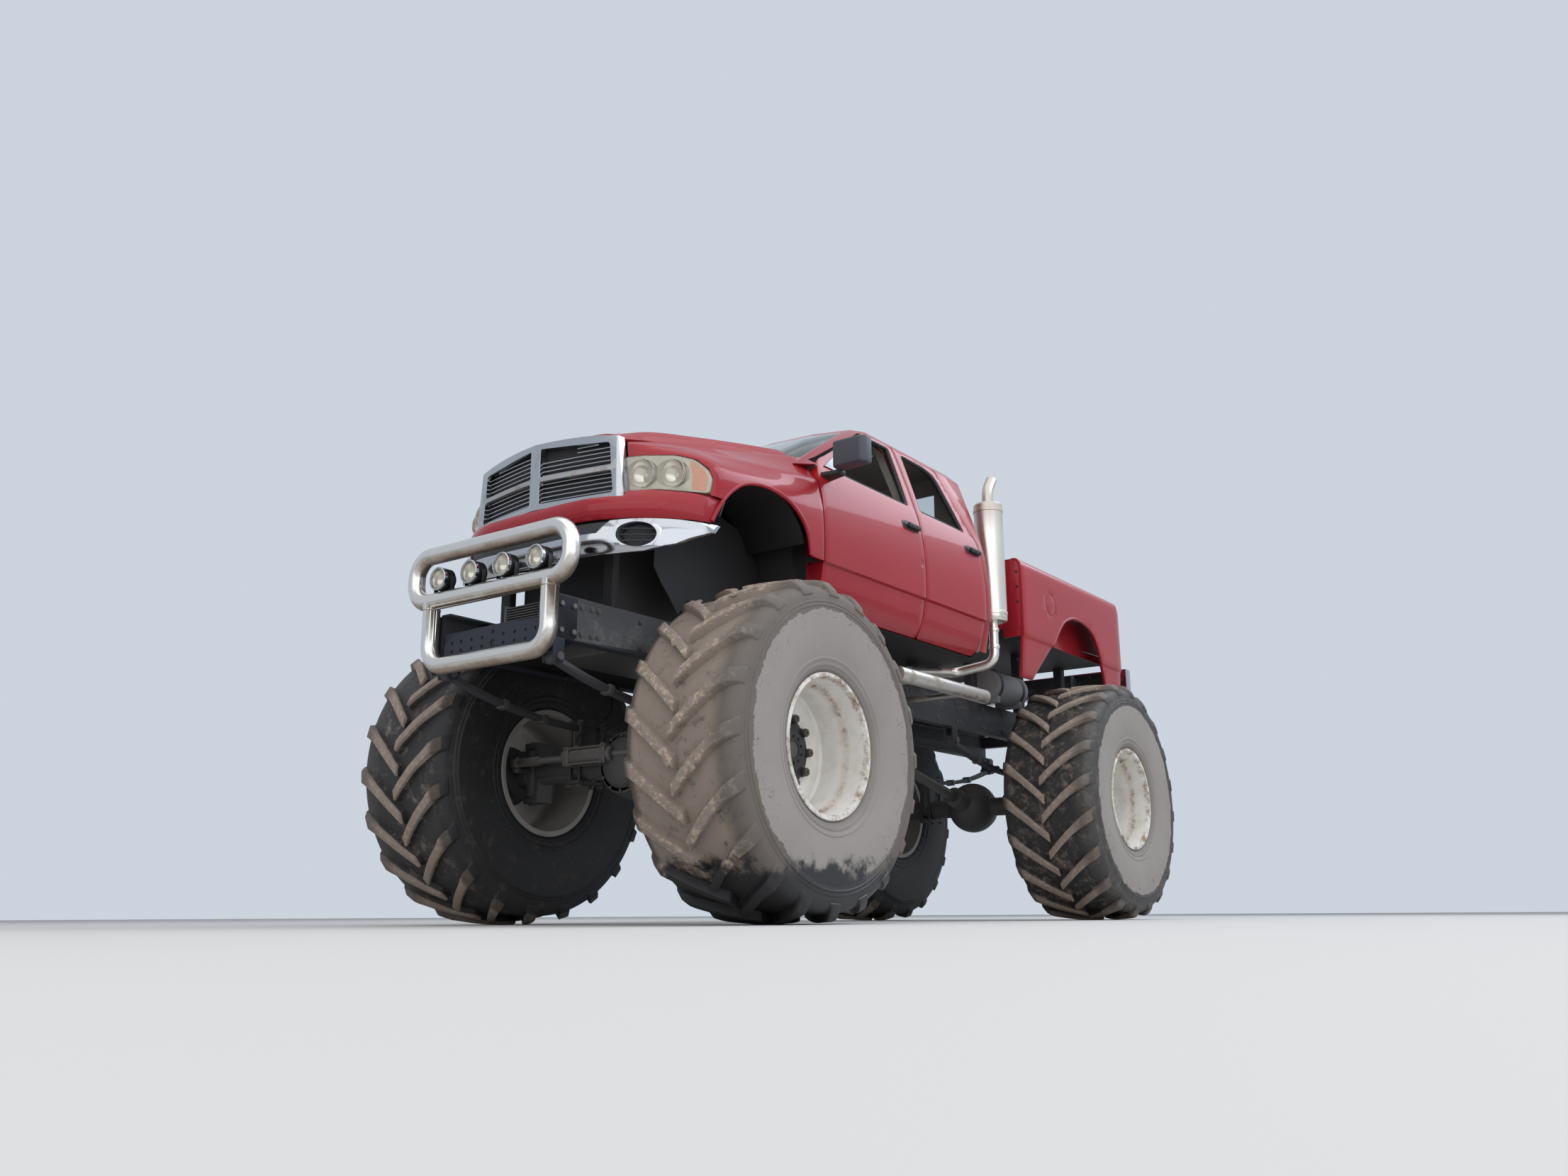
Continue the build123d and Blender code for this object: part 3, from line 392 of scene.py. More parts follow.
class Graph:
    def __init__(self, name):
        self.material = bpy.data.materials.new(name)
        self.material.use_nodes = True
        self.tree = self.material.node_tree
        self.tree.nodes.clear()
        self.place = self.node("TexCoord", {}, {}, "Object")

    def node(self, kind, settings, inputs, output=0):
        made = self.tree.nodes.new("ShaderNode" + kind)
        for key, value in settings.items():
            setattr(made, key, value)
        for key, value in inputs.items():
            if isinstance(value, Value):
                self.tree.links.new(value.socket, made.inputs[key])
            else:
                made.inputs[key].default_value = value
        return Value(self, made.outputs[output])

    def noise(self, scale, detail=5.0, roughness=0.6, where=None):
        inputs = {"Vector": where or self.place, "Scale": scale, "Detail": detail, "Roughness": roughness}
        return self.node("TexNoise", {}, inputs, "Fac")

    def step(self, value, low, high):
        return self.node("MapRange", {"interpolation_type": "SMOOTHSTEP"},
                         {"Value": value, "From Min": low, "From Max": high})

    def mix(self, factor, first, second):
        def full(colour):
            return colour if isinstance(colour, Value) else (*colour, 1)
        return self.node("Mix", {"data_type": "RGBA"}, {0: factor, 6: full(first), 7: full(second)}, 2)

    def axes(self):
        split = self.node("SeparateXYZ", {}, {"Vector": self.place})
        owner = split.socket.node
        return [Value(self, owner.outputs[place]) for place in range(3)]

    def facing(self):
        # How far the surface looks up, from -1 to 1
        normal = self.node("NewGeometry", {}, {}, "Normal")
        split = self.node("SeparateXYZ", {}, {"Vector": normal})
        return Value(self, split.socket.node.outputs[2])

    def bump(self, height, strength, distance):
        return self.node("Bump", {}, {"Height": height, "Strength": strength, "Distance": distance}, "Normal")

    def surface(self, colour, roughness, normal=None, metallic=0.0, **sockets):
        inputs = {"Base Color": colour if isinstance(colour, Value) else (*colour, 1),
                  "Roughness": roughness, "Metallic": metallic}
        if normal:
            inputs["Normal"] = normal
        inputs.update(sockets)
        spoken = {key.replace("_", " "): value for key, value in inputs.items()}
        shader = self.node("BsdfPrincipled", {}, spoken)
        output = self.tree.nodes.new("ShaderNodeOutputMaterial")
        self.tree.links.new(shader.socket, output.inputs["Surface"])
        return self.material


# Finishes

def paintMaterial():
    # Deep red, a little duller and dustier low down
    g = Graph("bodyPaint")
    x, y, z = g.axes()
    cloud = g.noise(1.7, 3.0)
    fleck = g.noise(38.0, 6.0, 0.7)
    low = 1.0 - g.step(z, 1.86, 2.5)
    dust = g.step(fleck * 0.50 + cloud * 0.35 + low * 0.34, 0.66, 1.10)
    red = g.mix(cloud, (0.290, 0.0100, 0.0180), (0.350, 0.0145, 0.0240))
    colour = g.mix(dust * 0.42, red, (0.30, 0.145, 0.115))
    # A patch of fresher red under the left mirror, and a dent low by the left front door's rear edge
    leftSide = g.step(y, 0.70, 0.75)
    dx, dz = (x - 1.455) / 0.105, (z - 2.735) / 0.090
    patch = 1.0 - g.step((dx * dx + dz * dz) ** 0.5 + g.noise(16.0, 4.0) * 0.6, 1.26, 1.30)
    colour = g.mix(patch * leftSide, colour, (0.43, 0.015, 0.016))
    dx, dz = (x - 0.368) / 0.034, (z - 2.380) / 0.044
    dent = 1.0 - g.step((dx * dx + dz * dz) ** 0.5, 0.25, 1.0)
    colour = g.mix(dent * leftSide * 0.35, colour, (0.16, 0.006, 0.010))
    peel = g.bump(g.noise(240.0, 2.0) * 0.05 - dent * leftSide, 0.9, 0.006)
    return g.surface(colour, 0.36 + dust * 0.30, peel, Specular_IOR_Level=0.16, Coat_Weight=0.42,
                     Coat_Roughness=0.06)


def metalMaterial(name, colour, roughness, dirtColour, dirtAmount, streak=(1.0, 1.0, 1.0), scale=9.0,
                  grain=0.10):
    # Bright metal with dull dirt in patches
    g = Graph(name)
    spread = g.node("Mapping", {}, {"Vector": g.place, "Scale": streak})
    patch = g.noise(scale, 6.0, 0.65, spread)
    fine = g.noise(scale * 9, 4.0, 0.6, spread)
    dirt = g.step(patch * 0.75 + fine * 0.25, 0.62 - dirtAmount * 0.3, 0.80 - dirtAmount * 0.2)
    base = g.mix(dirt, colour, dirtColour)
    return g.surface(base, roughness + dirt * 0.38 + fine * grain, g.bump(fine, grain * 0.3, 0.002),
                     metallic=1.0 - dirt * 0.75)


def stackMaterial():
    # Upright pipe: pale bands that change with height, brown towards the tip
    g = Graph("stackSteel")
    z = g.axes()[2]
    spread = g.node("Mapping", {}, {"Vector": g.place, "Scale": (1.0, 1.0, 0.12)})
    streaks = g.noise(5.0, 3.0, 0.5, spread)
    soot = g.step(z + streaks * 0.2, 2.95, 3.20)
    stain = g.step(streaks, 0.48, 0.70)
    colour = g.mix(stain * 0.6, (0.74, 0.715, 0.665), (0.50, 0.45, 0.37))
    colour = g.mix(soot * 0.45, colour, (0.30, 0.22, 0.15))
    return g.surface(colour, 0.27 + stain * 0.16 + soot * 0.1, metallic=0.86)


def steelMaterial():
    # Polished tube with brown stains in patches, and painted shade that turns it brown underneath
    g = Graph("polishedSteel")
    fine = g.noise(60.0, 5.0)
    patch = g.noise(7.0, 5.0, 0.7)
    # Painted shade: faces that look down are turned brown, as if in the shade under the bar
    paintedUnderShade = 1.0 - g.step(g.facing(), -0.75, 0.25)
    stain = g.step(patch * 0.55 + paintedUnderShade * 0.45, 0.48, 0.80)
    colour = g.mix(stain, (0.70, 0.68, 0.645), (0.36, 0.29, 0.225))
    return g.surface(colour, 0.20 + stain * 0.24 + fine * 0.08, g.bump(fine, 0.04, 0.001), metallic=0.92)


def dustyMaterial(name, colour, dust, amount=0.5, roughness=0.62, scale=6.0, metallic=0.0):
    # Dark paint or plastic with pale dust, thickest on what faces up
    g = Graph(name)
    patch = g.noise(scale, 7.0, 0.7)
    fine = g.noise(scale * 14, 4.0, 0.6)
    lift = g.step(g.facing(), -0.2, 0.9)
    cover = g.step(patch * 0.6 + fine * 0.3 + lift * 0.35, 0.92 - amount * 0.45, 1.18 - amount * 0.30)
    return g.surface(g.mix(cover, colour, dust), roughness + cover * 0.28, g.bump(fine, 0.12, 0.003),
                     metallic=metallic)


def tyreMaterial(name, centreX, outward, mud, wet):
    # Black rubber, brown mud on the lugs, a pale dusty disc with a ragged edge outside, and painted shade on
    # the inner sidewall
    g = Graph(name)
    x, y, z = g.axes()
    dx, dz = x - centreX, z - wheel["z"]
    radius = (dx * dx + dz * dz) ** 0.5
    across = y * outward - wheel["y"]
    angle = dz.maths("ARCTAN2", dz, dx)
    ragged = g.noise(7.5, 6.0, 0.70)
    fine = g.noise(55.0, 5.0, 0.65)
    clump = g.noise(16.0, 6.0, 0.75)
    cloud = g.noise(2.6, 3.0)

    outside = g.step(across, 0.20, 0.30)
    disc = (1.0 - g.step(radius + ragged * 0.11, 0.783, 0.789)) * outside
    onLug = g.step(radius + across * across * 0.28, 0.893, 0.911)
    cover = g.step(clump * 0.6 + ragged * 0.5 + onLug * 0.45, 0.78 - mud * 0.46, 1.0 - mud * 0.48)
    cover = cover * (1.0 - outside * 0.62)
    sand = g.step(g.noise(30.0, 5.0, 0.7) + onLug * 0.16, 0.66, 0.76) * mud
    soaked = (1.0 - g.step(z + ragged * 0.5, 0.50, 0.60)) * wet

    rubber = g.mix(fine, (0.016, 0.016, 0.018), (0.034, 0.033, 0.033))
    rubber = g.mix(outside * 0.55, rubber, (0.075, 0.070, 0.065))
    mudColour = g.mix(cloud * 0.5 + clump * 0.5, (0.205, 0.163, 0.137), (0.320, 0.262, 0.220))
    mudColour = g.mix(sand, mudColour, (0.440, 0.350, 0.265))
    colour = g.mix(cover, rubber, mudColour)

    # The pale disc: darker rings by the rim, and cracks that run out to its edge
    rings = g.node("Math", {"operation": "SINE"}, {0: radius * 480.0})
    nearBead = 1.0 - g.step(radius + cloud * 0.04, 0.42, 0.50)
    ringed = (1.0 - g.step(radius, 0.50, 0.56)) * g.step(radius, 0.405, 0.42)
    polar = g.node("CombineXYZ", {}, {0: angle * 3.0, 1: radius * 2.2, 2: 0.0})
    seam = g.noise(3.2, 2.0, 0.4, polar)
    crack = 1.0 - g.step(g.node("Math", {"operation": "ABSOLUTE"}, {0: seam - 0.53}), 0.001, 0.0045)
    crack = crack * g.step(radius + cloud * 0.1, 0.68, 0.70) * g.step(clump, 0.42, 0.50)
    pale = g.mix(cloud, (0.255, 0.228, 0.212), (0.330, 0.300, 0.282))
    pale = g.mix(nearBead * 0.42 + ringed * rings * 0.07, pale, (0.105, 0.098, 0.092))
    pale = g.mix(crack * 0.9, pale, (0.05, 0.048, 0.046))
    colour = g.mix(disc, colour, pale)
    colour = g.mix(soaked, colour, (0.018, 0.018, 0.020))
    # Painted shade: the inner sidewall is made near black, as if in the shade under the truck
    inside = 1.0 - g.step(across, -0.31, -0.27)
    colour = g.mix(inside * 0.7, colour, (0.012, 0.012, 0.013))
    height = (fine * 0.35 + clump * cover) * (1.0 - disc * 0.93) + ringed * rings * 0.05
    return g.surface(colour, 0.62 + disc * 0.22 + cover * 0.2 - soaked * 0.3, g.bump(height, 0.45, 0.012))


def rimMaterial(name, centreX, outward):
    # Cream paint that is rusty at the lip and the steps of the barrel, on a black hub, with painted shade on
    # the inboard half of the barrel
    g = Graph(name)
    x, y, z = g.axes()
    dx, dz = x - centreX, z - wheel["z"]
    radius = (dx * dx + dz * dz) ** 0.5
    across = y * outward - wheel["y"]
    patch = g.noise(8.0, 7.0, 0.75)
    fine = g.noise(46.0, 6.0, 0.7)
    cloud = g.noise(3.0, 3.0)
    step = 1.0 - g.step(g.node("Math", {"operation": "ABSOLUTE"}, {0: across - 0.215}), 0.0, 0.045)
    lip = g.step(across, 0.285, 0.315) * g.step(radius, 0.352, 0.366)
    rust = g.step(patch * 0.62 + fine * 0.25 + step * 0.20 + lip * 0.20 + cloud * 0.06, 0.60, 0.77)
    dirt = g.step(patch + step * 0.3 + cloud * 0.2, 0.50, 0.85)
    cream = g.mix(dirt * 0.6, (0.76, 0.74, 0.70), (0.53, 0.47, 0.39))
    colour = g.mix(rust, cream, (0.255, 0.165, 0.100))
    # Painted shade: the inboard half of the barrel is darkened brown, with a ragged edge, as if in the shade
    # inside the wheel
    paintedInboardShade = 1.0 - g.step(across + patch * 0.16, 0.02, 0.12)
    colour = g.mix(paintedInboardShade * 0.72, colour, (0.115, 0.098, 0.084))
    hub = (1.0 - g.step(radius, 0.212, 0.214)) * g.step(across, 0.042, 0.0435)
    hub = hub.maths("MAXIMUM", hub, 1.0 - g.step(radius, 0.187, 0.189))
    nut = g.step(radius, 0.158, 0.160) * g.step(across, 0.062, 0.064)
    black = g.mix(nut * 0.8, (0.018, 0.018, 0.020), (0.085, 0.075, 0.066))
    colour = g.mix(hub, colour, black)
    return g.surface(colour, 0.42 + rust * 0.35 + dirt * 0.1, g.bump(fine * rust + patch * 0.3, 0.2, 0.004))


def glassMaterial(name, colour, roughness=0.05, weight=0.9):
    return Graph(name).surface(colour, roughness, None, Transmission_Weight=weight, IOR=1.45)


def plainMaterial(name, colour, roughness, scale=60.0, bumpStrength=0.08, spread=0.35, **sockets):
    # A plain finish with a little variation in colour and gloss
    g = Graph(name)
    fine = g.noise(scale, 5.0, 0.6)
    patch = g.noise(scale / 12, 4.0, 0.6)
    darker = tuple(part * (1 - spread) for part in colour)
    return g.surface(g.mix(patch * 0.7 + fine * 0.3, darker, colour), roughness + patch * 0.15,
                     g.bump(fine, bumpStrength, 0.001), **sockets)


def clothMaterial():
    g = Graph("seatCloth")
    threads = {"Vector": g.place, "Scale": 260.0, "Distortion": 0.4}
    weave = g.node("TexWave", {"bands_direction": "DIAGONAL"}, threads, "Fac")
    patch = g.noise(5.0, 4.0)
    colour = g.mix(weave * 0.5 + patch * 0.5, (0.085, 0.078, 0.072), (0.17, 0.16, 0.15))
    return g.surface(colour, 0.88, g.bump(weave, 0.25, 0.001), Sheen_Weight=0.3)


wheel = {"x": {"front": 2.130, "rear": -2.070}, "y": 1.060, "z": 0.920}

materials = {
    "paint": paintMaterial(),
    "steel": steelMaterial(),
    "chrome": metalMaterial("chromeTrim", (0.46, 0.47, 0.49), 0.09, (0.26, 0.22, 0.18), 0.26,
                            (1.0, 1.0, 0.5), 6.0, 0.04),
    "dullSteel": metalMaterial("dullSteel", (0.42, 0.41, 0.40), 0.34, (0.22, 0.19, 0.16), 0.40,
                               scale=5.0, grain=0.03),
    "stack": stackMaterial(),
    "sideTube": metalMaterial("sideTubeSteel", (0.50, 0.475, 0.44), 0.34, (0.25, 0.19, 0.14), 0.55,
                              scale=4.0, grain=0.02),
    "frame": dustyMaterial("framePaint", (0.018, 0.021, 0.032), (0.23, 0.20, 0.175), 0.42),
    "frameRear": dustyMaterial("frameDust", (0.030, 0.030, 0.034), (0.27, 0.255, 0.24), 0.85),
    "spring": dustyMaterial("springDust", (0.040, 0.040, 0.044), (0.20, 0.185, 0.170), 0.72),
    "axle": dustyMaterial("axlePaint", (0.070, 0.067, 0.064), (0.22, 0.200, 0.180), 0.68, 0.55),
    "steering": dustyMaterial("steeringDust", (0.110, 0.104, 0.098), (0.27, 0.245, 0.220), 0.80, 0.55),
    "casting": dustyMaterial("dirtyCasting", (0.14, 0.135, 0.13), (0.27, 0.24, 0.21), 0.5, 0.5, metallic=0.3),
    "plastic": plainMaterial("blackPlastic", (0.022, 0.023, 0.026), 0.48),
    "liner": dustyMaterial("archLiner", (0.010, 0.010, 0.011), (0.085, 0.075, 0.065), 0.45),
    "rubber": plainMaterial("sealRubber", (0.014, 0.014, 0.015), 0.62),
    "trim": plainMaterial("cabTrim", (0.30, 0.275, 0.24), 0.66, 140.0, 0.2, 0.2),
    "darkTrim": plainMaterial("darkTrim", (0.045, 0.043, 0.045), 0.62, 140.0, 0.2, 0.2),
    "cloth": clothMaterial(),
    "mirror": plainMaterial("mirrorShell", (0.060, 0.067, 0.080), 0.38, 90.0, 0.1),
    # Painted reflection: the sail is clear, and its grey-blue colour stands in for the sky it reflects
    "mirrorSail": plainMaterial("mirrorSailGlass", (0.19, 0.235, 0.265), 0.10, 20.0, 0.0, 0.25,
                                Coat_Weight=0.6),
    "mirrorGlass": metalMaterial("mirrorGlass", (0.85, 0.87, 0.88), 0.03, (0.5, 0.5, 0.5), 0.0),
    "glass": glassMaterial("windowGlass", (0.80, 0.91, 0.92)),
    "lens": glassMaterial("lampLens", (0.96, 0.945, 0.89), 0.06, 0.96),
    "amber": plainMaterial("amberLens", (0.80, 0.21, 0.012), 0.16, 120.0, 0.1, 0.2, Coat_Weight=1.0),
    "redLens": plainMaterial("redLens", (0.40, 0.012, 0.012), 0.14, 120.0, 0.1, 0.2, Coat_Weight=1.0),
    "bezel": plainMaterial("lampBezel", (0.66, 0.615, 0.510), 0.32, 40.0, 0.05, 0.20, Coat_Weight=0.5),
    "reflector": plainMaterial("lampReflector", (0.74, 0.715, 0.655), 0.16, 30.0, 0.0, 0.1, metallic=0.95),
    "bulb": plainMaterial("bulbGlass", (0.85, 0.84, 0.80), 0.12, 30.0, 0.0, 0.05),
    "spotBody": plainMaterial("spotLampShell", (0.010, 0.010, 0.011), 0.36, 80.0, 0.05, 0.2),
    "dustPaint": dustyMaterial("dustyGreyPaint", (0.20, 0.20, 0.205), (0.34, 0.32, 0.30), 0.7),
}

print("finishes ready")


# Wheels

tyre = {"treadRadius": 0.870, "lugHeight": 0.050, "treadHalf": 0.300, "wallHalf": 0.381, "beadRadius": 0.3735,
        "lugsPerSide": 20, "lugSweep": 19.0, "lugHalf": 0.031, "lugRootHalf": 0.042, "shoulder": 0.072,
        "shoulderRadius": 0.797, "sections": 12, "steps": 120, "wobble": 0.006, "drawnIn": 0.014,
        "drawnRadius": 0.75, "drawnY": -0.24}

# How much mud each tyre carries, whether its foot is wet, and how far the wheel is turned
tyreLooks = {"front_left": (1.0, 1.0, 0.0), "front_right": (0.48, 0.0, 0.9), "rear_left": (0.56, 0.0, 2.3),
             "rear_right": (0.50, 0.0, 4.1)}


def tyreProfile():
    # Radius and distance from the middle: bead, ribs by the rim, sidewall, ribs by the shoulder, tread
    t = tyre
    half = [(t["beadRadius"], 0.318), (t["beadRadius"], 0.329), (0.397, 0.3295), (0.406, 0.336),
            (0.412, 0.345), (0.428, 0.350), (0.432, 0.3545), (0.444, 0.356), (0.447, 0.3535),
            (0.462, 0.358), (0.466, 0.3625),
            (0.476, 0.363), (0.480, 0.3605), (0.52, 0.370), (0.57, 0.377), (0.63, t["wallHalf"]),
            (0.70, t["wallHalf"]), (0.748, 0.3785), (0.751, 0.381), (0.759, 0.380), (0.762, 0.376),
            (0.770, 0.3745), (0.773, 0.377), (0.781, 0.375), (0.784, 0.3715)]
    for turn in range(20, 91, 14):
        angle = math.radians(turn)
        half.append((t["shoulderRadius"] + t["shoulder"] * math.sin(angle),
                     t["treadHalf"] + t["shoulder"] * math.cos(angle)))
    half += [(0.8695, 0.24), (0.8700, 0.14), (0.8705, 0.05)]
    hollow = [(0.845, 0.05), (0.845, 0.24), (0.80, 0.33), (0.66, 0.352), (0.50, 0.338), (0.40, 0.302)]
    outside = half + [(radius, -y) for radius, y in reversed(half)]
    return outside + [(radius, -y) for radius, y in reversed(hollow)] + hollow


def lugSpot(share, across, lift):
    # A point of one lug: share runs from the tyre's middle to the end over the shoulder
    t = tyre
    if share < 0.78:
        y = -0.016 + (t["treadHalf"] + 0.016) * share / 0.78
        radius, lean = t["treadRadius"] - 0.004 * (y / t["treadHalf"]) ** 2, 0.0
    else:
        angle = math.radians(90 - 74 * (share - 0.78) / 0.22)
        y = t["treadHalf"] + t["shoulder"] * math.cos(angle)
        radius, lean = t["shoulderRadius"] - 0.003 + t["shoulder"] * math.sin(angle), math.pi / 2 - angle
    height = t["lugHeight"] * (1 - 0.14 * easing(share, 0.3, 0.78) - 0.56 * easing(share, 0.80, 1.0))
    outward = lift * height if lift > 0 else lift * 0.03
    radius += outward * math.cos(lean)
    y += outward * math.sin(lean) * 0.5
    turn = math.radians(t["lugSweep"]) * (1 - (1 - share) ** 1.3)
    return radius, y, turn + across / radius


def tyreLug(name):
    t = tyre
    section = [(-t["lugRootHalf"], -1.0), (-t["lugRootHalf"], 0.05), (-t["lugHalf"] - 0.003, 0.45),
               (-t["lugHalf"], 1.0)]
    section += [(-across, lift) for across, lift in reversed(section)]
    bpy.ops.mesh.primitive_cylinder_add(vertices=len(section), radius=1, depth=1)
    lug = newest(name)
    sliced(lug, 2, 1 / t["sections"])
    for vert in lug.data.vertices:
        place = round(math.atan2(vert.co.x, vert.co.y) / (2 * math.pi) * len(section)) % len(section)
        across, lift = section[place]
        share = vert.co.z + 0.5
        widening = 1 + 0.30 * easing(share, 0.55, 0.95)
        radius, y, turn = lugSpot(share, across * widening, lift)
        vert.co = (radius * math.cos(turn), y, radius * math.sin(turn))
    faceOut(lug)
    bevel(lug, 0.008, 2, 38)
    return lug


def makeTyre():
    t = tyre
    carcass = lathe(tyreProfile(), t["steps"], "carcass")
    parts = [carcass]
    pattern = tyreLug("lug")
    for side in (1, -1):
        first = pattern if side > 0 else mirroredCopy(pattern, "lugMirror")
        for count in range(t["lugsPerSide"]):
            lug = copyOf(first, "lugCopy")
            turn = 2 * math.pi * (count + (0.5 if side < 0 else 0.0)) / t["lugsPerSide"]
            wobble = random.uniform(-t["wobble"], t["wobble"])
            lug.data.transform(Matrix.Rotation(-turn + wobble, 4, "Y"))
            parts.append(lug)
        if side < 0:
            bpy.data.objects.remove(first)
    bpy.data.objects.remove(pattern)
    master = joined(parts, "tyreMaster")
    # The inner shoulder is drawn in a little, so that it clears the springs at full lock
    for vert in master.data.vertices:
        beyond = max(0.0, math.hypot(vert.co.x, vert.co.z) - t["drawnRadius"])
        drawn = min(t["drawnIn"], beyond * 0.2)
        vert.co.y += drawn * min(1.0, max(0.0, (t["drawnY"] - vert.co.y) / 0.06))
    return master


clods = {"count": 46, "from": -20.0, "to": 110.0, "size": (0.010, 0.026)}


def makeClods():
    # Lumps of dried mud that sit on the lugs over the top of the front left tyre
    c = clods
    lumps = []
    pitch = 360 / tyre["lugsPerSide"]
    for count in range(c["count"]):
        side = random.choice((1, -1))
        radius, y, turn = lugSpot(random.uniform(0.06, 0.62), random.uniform(-0.022, 0.022), 0.96)
        lugCount = random.randint(int(c["from"] / pitch), int(c["to"] / pitch))
        size = random.uniform(*c["size"])
        bpy.ops.mesh.primitive_ico_sphere_add(subdivisions=2, radius=size)
        lump = newest("clod")
        for vert in lump.data.vertices:
            vert.co *= random.uniform(0.72, 1.12)
            vert.co.x *= 0.42
            vert.co.z *= 1.5
        angle = turn + math.radians(pitch * (lugCount + (0.5 if side < 0 else 0.0)))
        top = min(radius + size * 0.15, tyre["treadRadius"] + tyre["lugHeight"] - size * 0.30)
        lumps.append(turned(lump, -angle, "Y", (top * math.cos(angle), y * side, top * math.sin(angle))))
    return lumps


rim = {"flangeRadius": 0.395, "half": 0.343, "seatRadius": 0.3725, "wellRadius": 0.346, "wall": 0.011,
       "discY": 0.040, "discThick": 0.016, "plateRadius": 0.186, "plateThick": 0.020, "hubRadius": 0.102,
       "hubReach": 0.062, "bore": 0.0455, "nuts": 10, "nutCircle": 0.184, "nutRadius": 0.024,
       "nutLength": 0.044, "capCircle": 0.072}


def rimProfile():
    r = rim
    half, seat, well, flange = r["half"], r["seatRadius"], r["wellRadius"], r["flangeRadius"]
    inSeat, inWell = seat - r["wall"], well - r["wall"]
    face, reach, plate = r["discY"], r["discY"] + r["hubReach"], r["discY"] + r["plateThick"]
    back, hub, edge = face - r["discThick"], r["hubRadius"], r["plateRadius"]
    outside = [(flange - 0.004, half), (flange, half - 0.004), (flange, half - 0.009),
               (seat + 0.004, half - 0.0125), (seat, half - 0.018), (seat, half - 0.100),
               (seat - 0.006, half - 0.108), (well, half - 0.142)]
    outside += [(radius, -y) for radius, y in reversed(outside)]
    inside = [(inSeat, -half + 0.004), (inSeat, -half + 0.10), (inWell, -half + 0.146), (inWell, back),
              (r["bore"], back), (r["bore"], reach), (hub, reach), (hub + 0.008, reach - 0.008),
              (hub + 0.012, plate + 0.004), (edge - 0.010, plate), (edge, plate - 0.006),
              (edge + 0.001, face + 0.001), (0.214, face), (0.228, face + 0.006), (0.30, face + 0.010),
              (inWell - 0.014, face + 0.003), (inWell, face + 0.016), (inWell, half - 0.150),
              (inSeat - 0.004, half - 0.106), (inSeat - 0.001, half - 0.094), (inSeat + 0.001, half - 0.030),
              (inSeat + 0.006, half - 0.010), (inSeat + 0.011, half)]
    return outside + inside


def makeRim():
    r = rim
    parts = [lathe(rimProfile(), 96, "barrel")]
    seat = r["discY"] + 0.004
    for count in range(r["nuts"]):
        angle = 2 * math.pi * count / r["nuts"]
        x, z = r["nutCircle"] * math.cos(angle), r["nutCircle"] * math.sin(angle)
        washer = bar((x, seat - 0.008, z), (x, seat + 0.008, z), r["nutRadius"] + 0.003, "washer", 20, 0.003)
        nut = bar((x, seat, z), (x, seat + r["nutLength"], z), r["nutRadius"], "nut", 20, 0.010)
        stud = bar((x, seat + 0.030, z), (x, seat + r["nutLength"] + 0.006, z), 0.009, "stud", 12, 0.001)
        parts += [washer, nut, stud]
    for count in range(r["nuts"]):
        angle = 2 * math.pi * (count + 0.5) / r["nuts"]
        x, z = r["capCircle"] * math.cos(angle), r["capCircle"] * math.sin(angle)
        y = r["discY"] + r["hubReach"]
        parts.append(bar((x, y - 0.004, z), (x, y + 0.007, z), 0.0085, "capBolt", 6))
    parts.append(bar((0.30, r["discY"], -0.085), (0.335, 0.27, -0.098), 0.0065, "valve", 10))
    return joined(parts, "rimMaster")


def makeWheels():
    masters = (("tyre", makeTyre(), "tyre_rubber"), ("rim", makeRim(), "wheel_paint"))
    for end in ("front", "rear"):
        centreX = wheel["x"][end]
        for side, sign in bothSides:
            name = f"{end}_{side}"
            mud, wet, turn = tyreLooks[name]
            materials["tyreLook_" + name] = tyreMaterial("tyreLook_" + name, centreX, sign, mud, wet)
            materials["rimLook_" + name] = rimMaterial("rimLook_" + name, centreX, sign)
            place = Matrix.Translation((centreX, wheel["y"] * sign, wheel["z"]))
            for kind, master, slotName in masters:
                pieceName = f"{kind}Piece_{name}"
                piece = sideCopy(master, pieceName, sign)
                if pieceName == "tyrePiece_front_left":
                    piece = joined([piece] + makeClods(), pieceName)
                piece.data.transform(place @ Matrix.Rotation(-turn, 4, "Y"))
                finish(piece, "wheel_" + name, f"{kind}Look_{name}", (f"{kind}_{name}",), 32)
    for kind, master, slotName in masters:
        bpy.data.objects.remove(master)
    print("wheels made")


makeWheels()


# Panels

def paintedBy(obj, names, choice):
    # Gives each face the material whose place in names the choice returns
    obj.data.materials.clear()
    for name in names:
        obj.data.materials.append(materials[name])
    for face in obj.data.polygons:
        face.material_index = choice(face.center, face.normal)


def rounded(points, steps=5):
    # An outline whose corners, given as (first, second, radius), become arcs
    path = []
    for index, (first, second, radius) in enumerate(points):
        before, after = Vector(points[index - 1][:2]), Vector(points[(index + 1) % len(points)][:2])
        path += corner(before, Vector((first, second)), after, radius, 0.45, steps)
    return [tuple(spot) for spot in path]


def curved(points, count):
    # A smooth line through the points, with evenly shared steps between them
    line = []
    for place in range(count + 1):
        share = place / count * (len(points) - 1)
        line.append(tuple(smoothLine([(index, point[axis]) for index, point in enumerate(points)], share)
                          for axis in range(len(points[0]))))
    return line


def inward(points, distance):
    # The outline moved in by a distance on every side
    area = sum(a[0] * b[1] - b[0] * a[1] for a, b in zip(points, points[1:] + points[:1]))
    turn = 1 if area > 0 else -1
    moved = []
    for index, here in enumerate(points):
        before, after = Vector(points[index - 1]), Vector(points[(index + 1) % len(points)])
        here = Vector(here)
        first, second = (here - before).normalized(), (after - here).normalized()
        normal = Vector((-(first.y + second.y), first.x + second.x))
        if normal.length < 1e-6:
            normal = Vector((-first.y, first.x))
        normal.normalize()
        stretch = max(abs(normal.dot(Vector((-first.y, first.x)))), 0.4)
        moved.append(tuple(here + normal * turn * distance / stretch))
    return moved


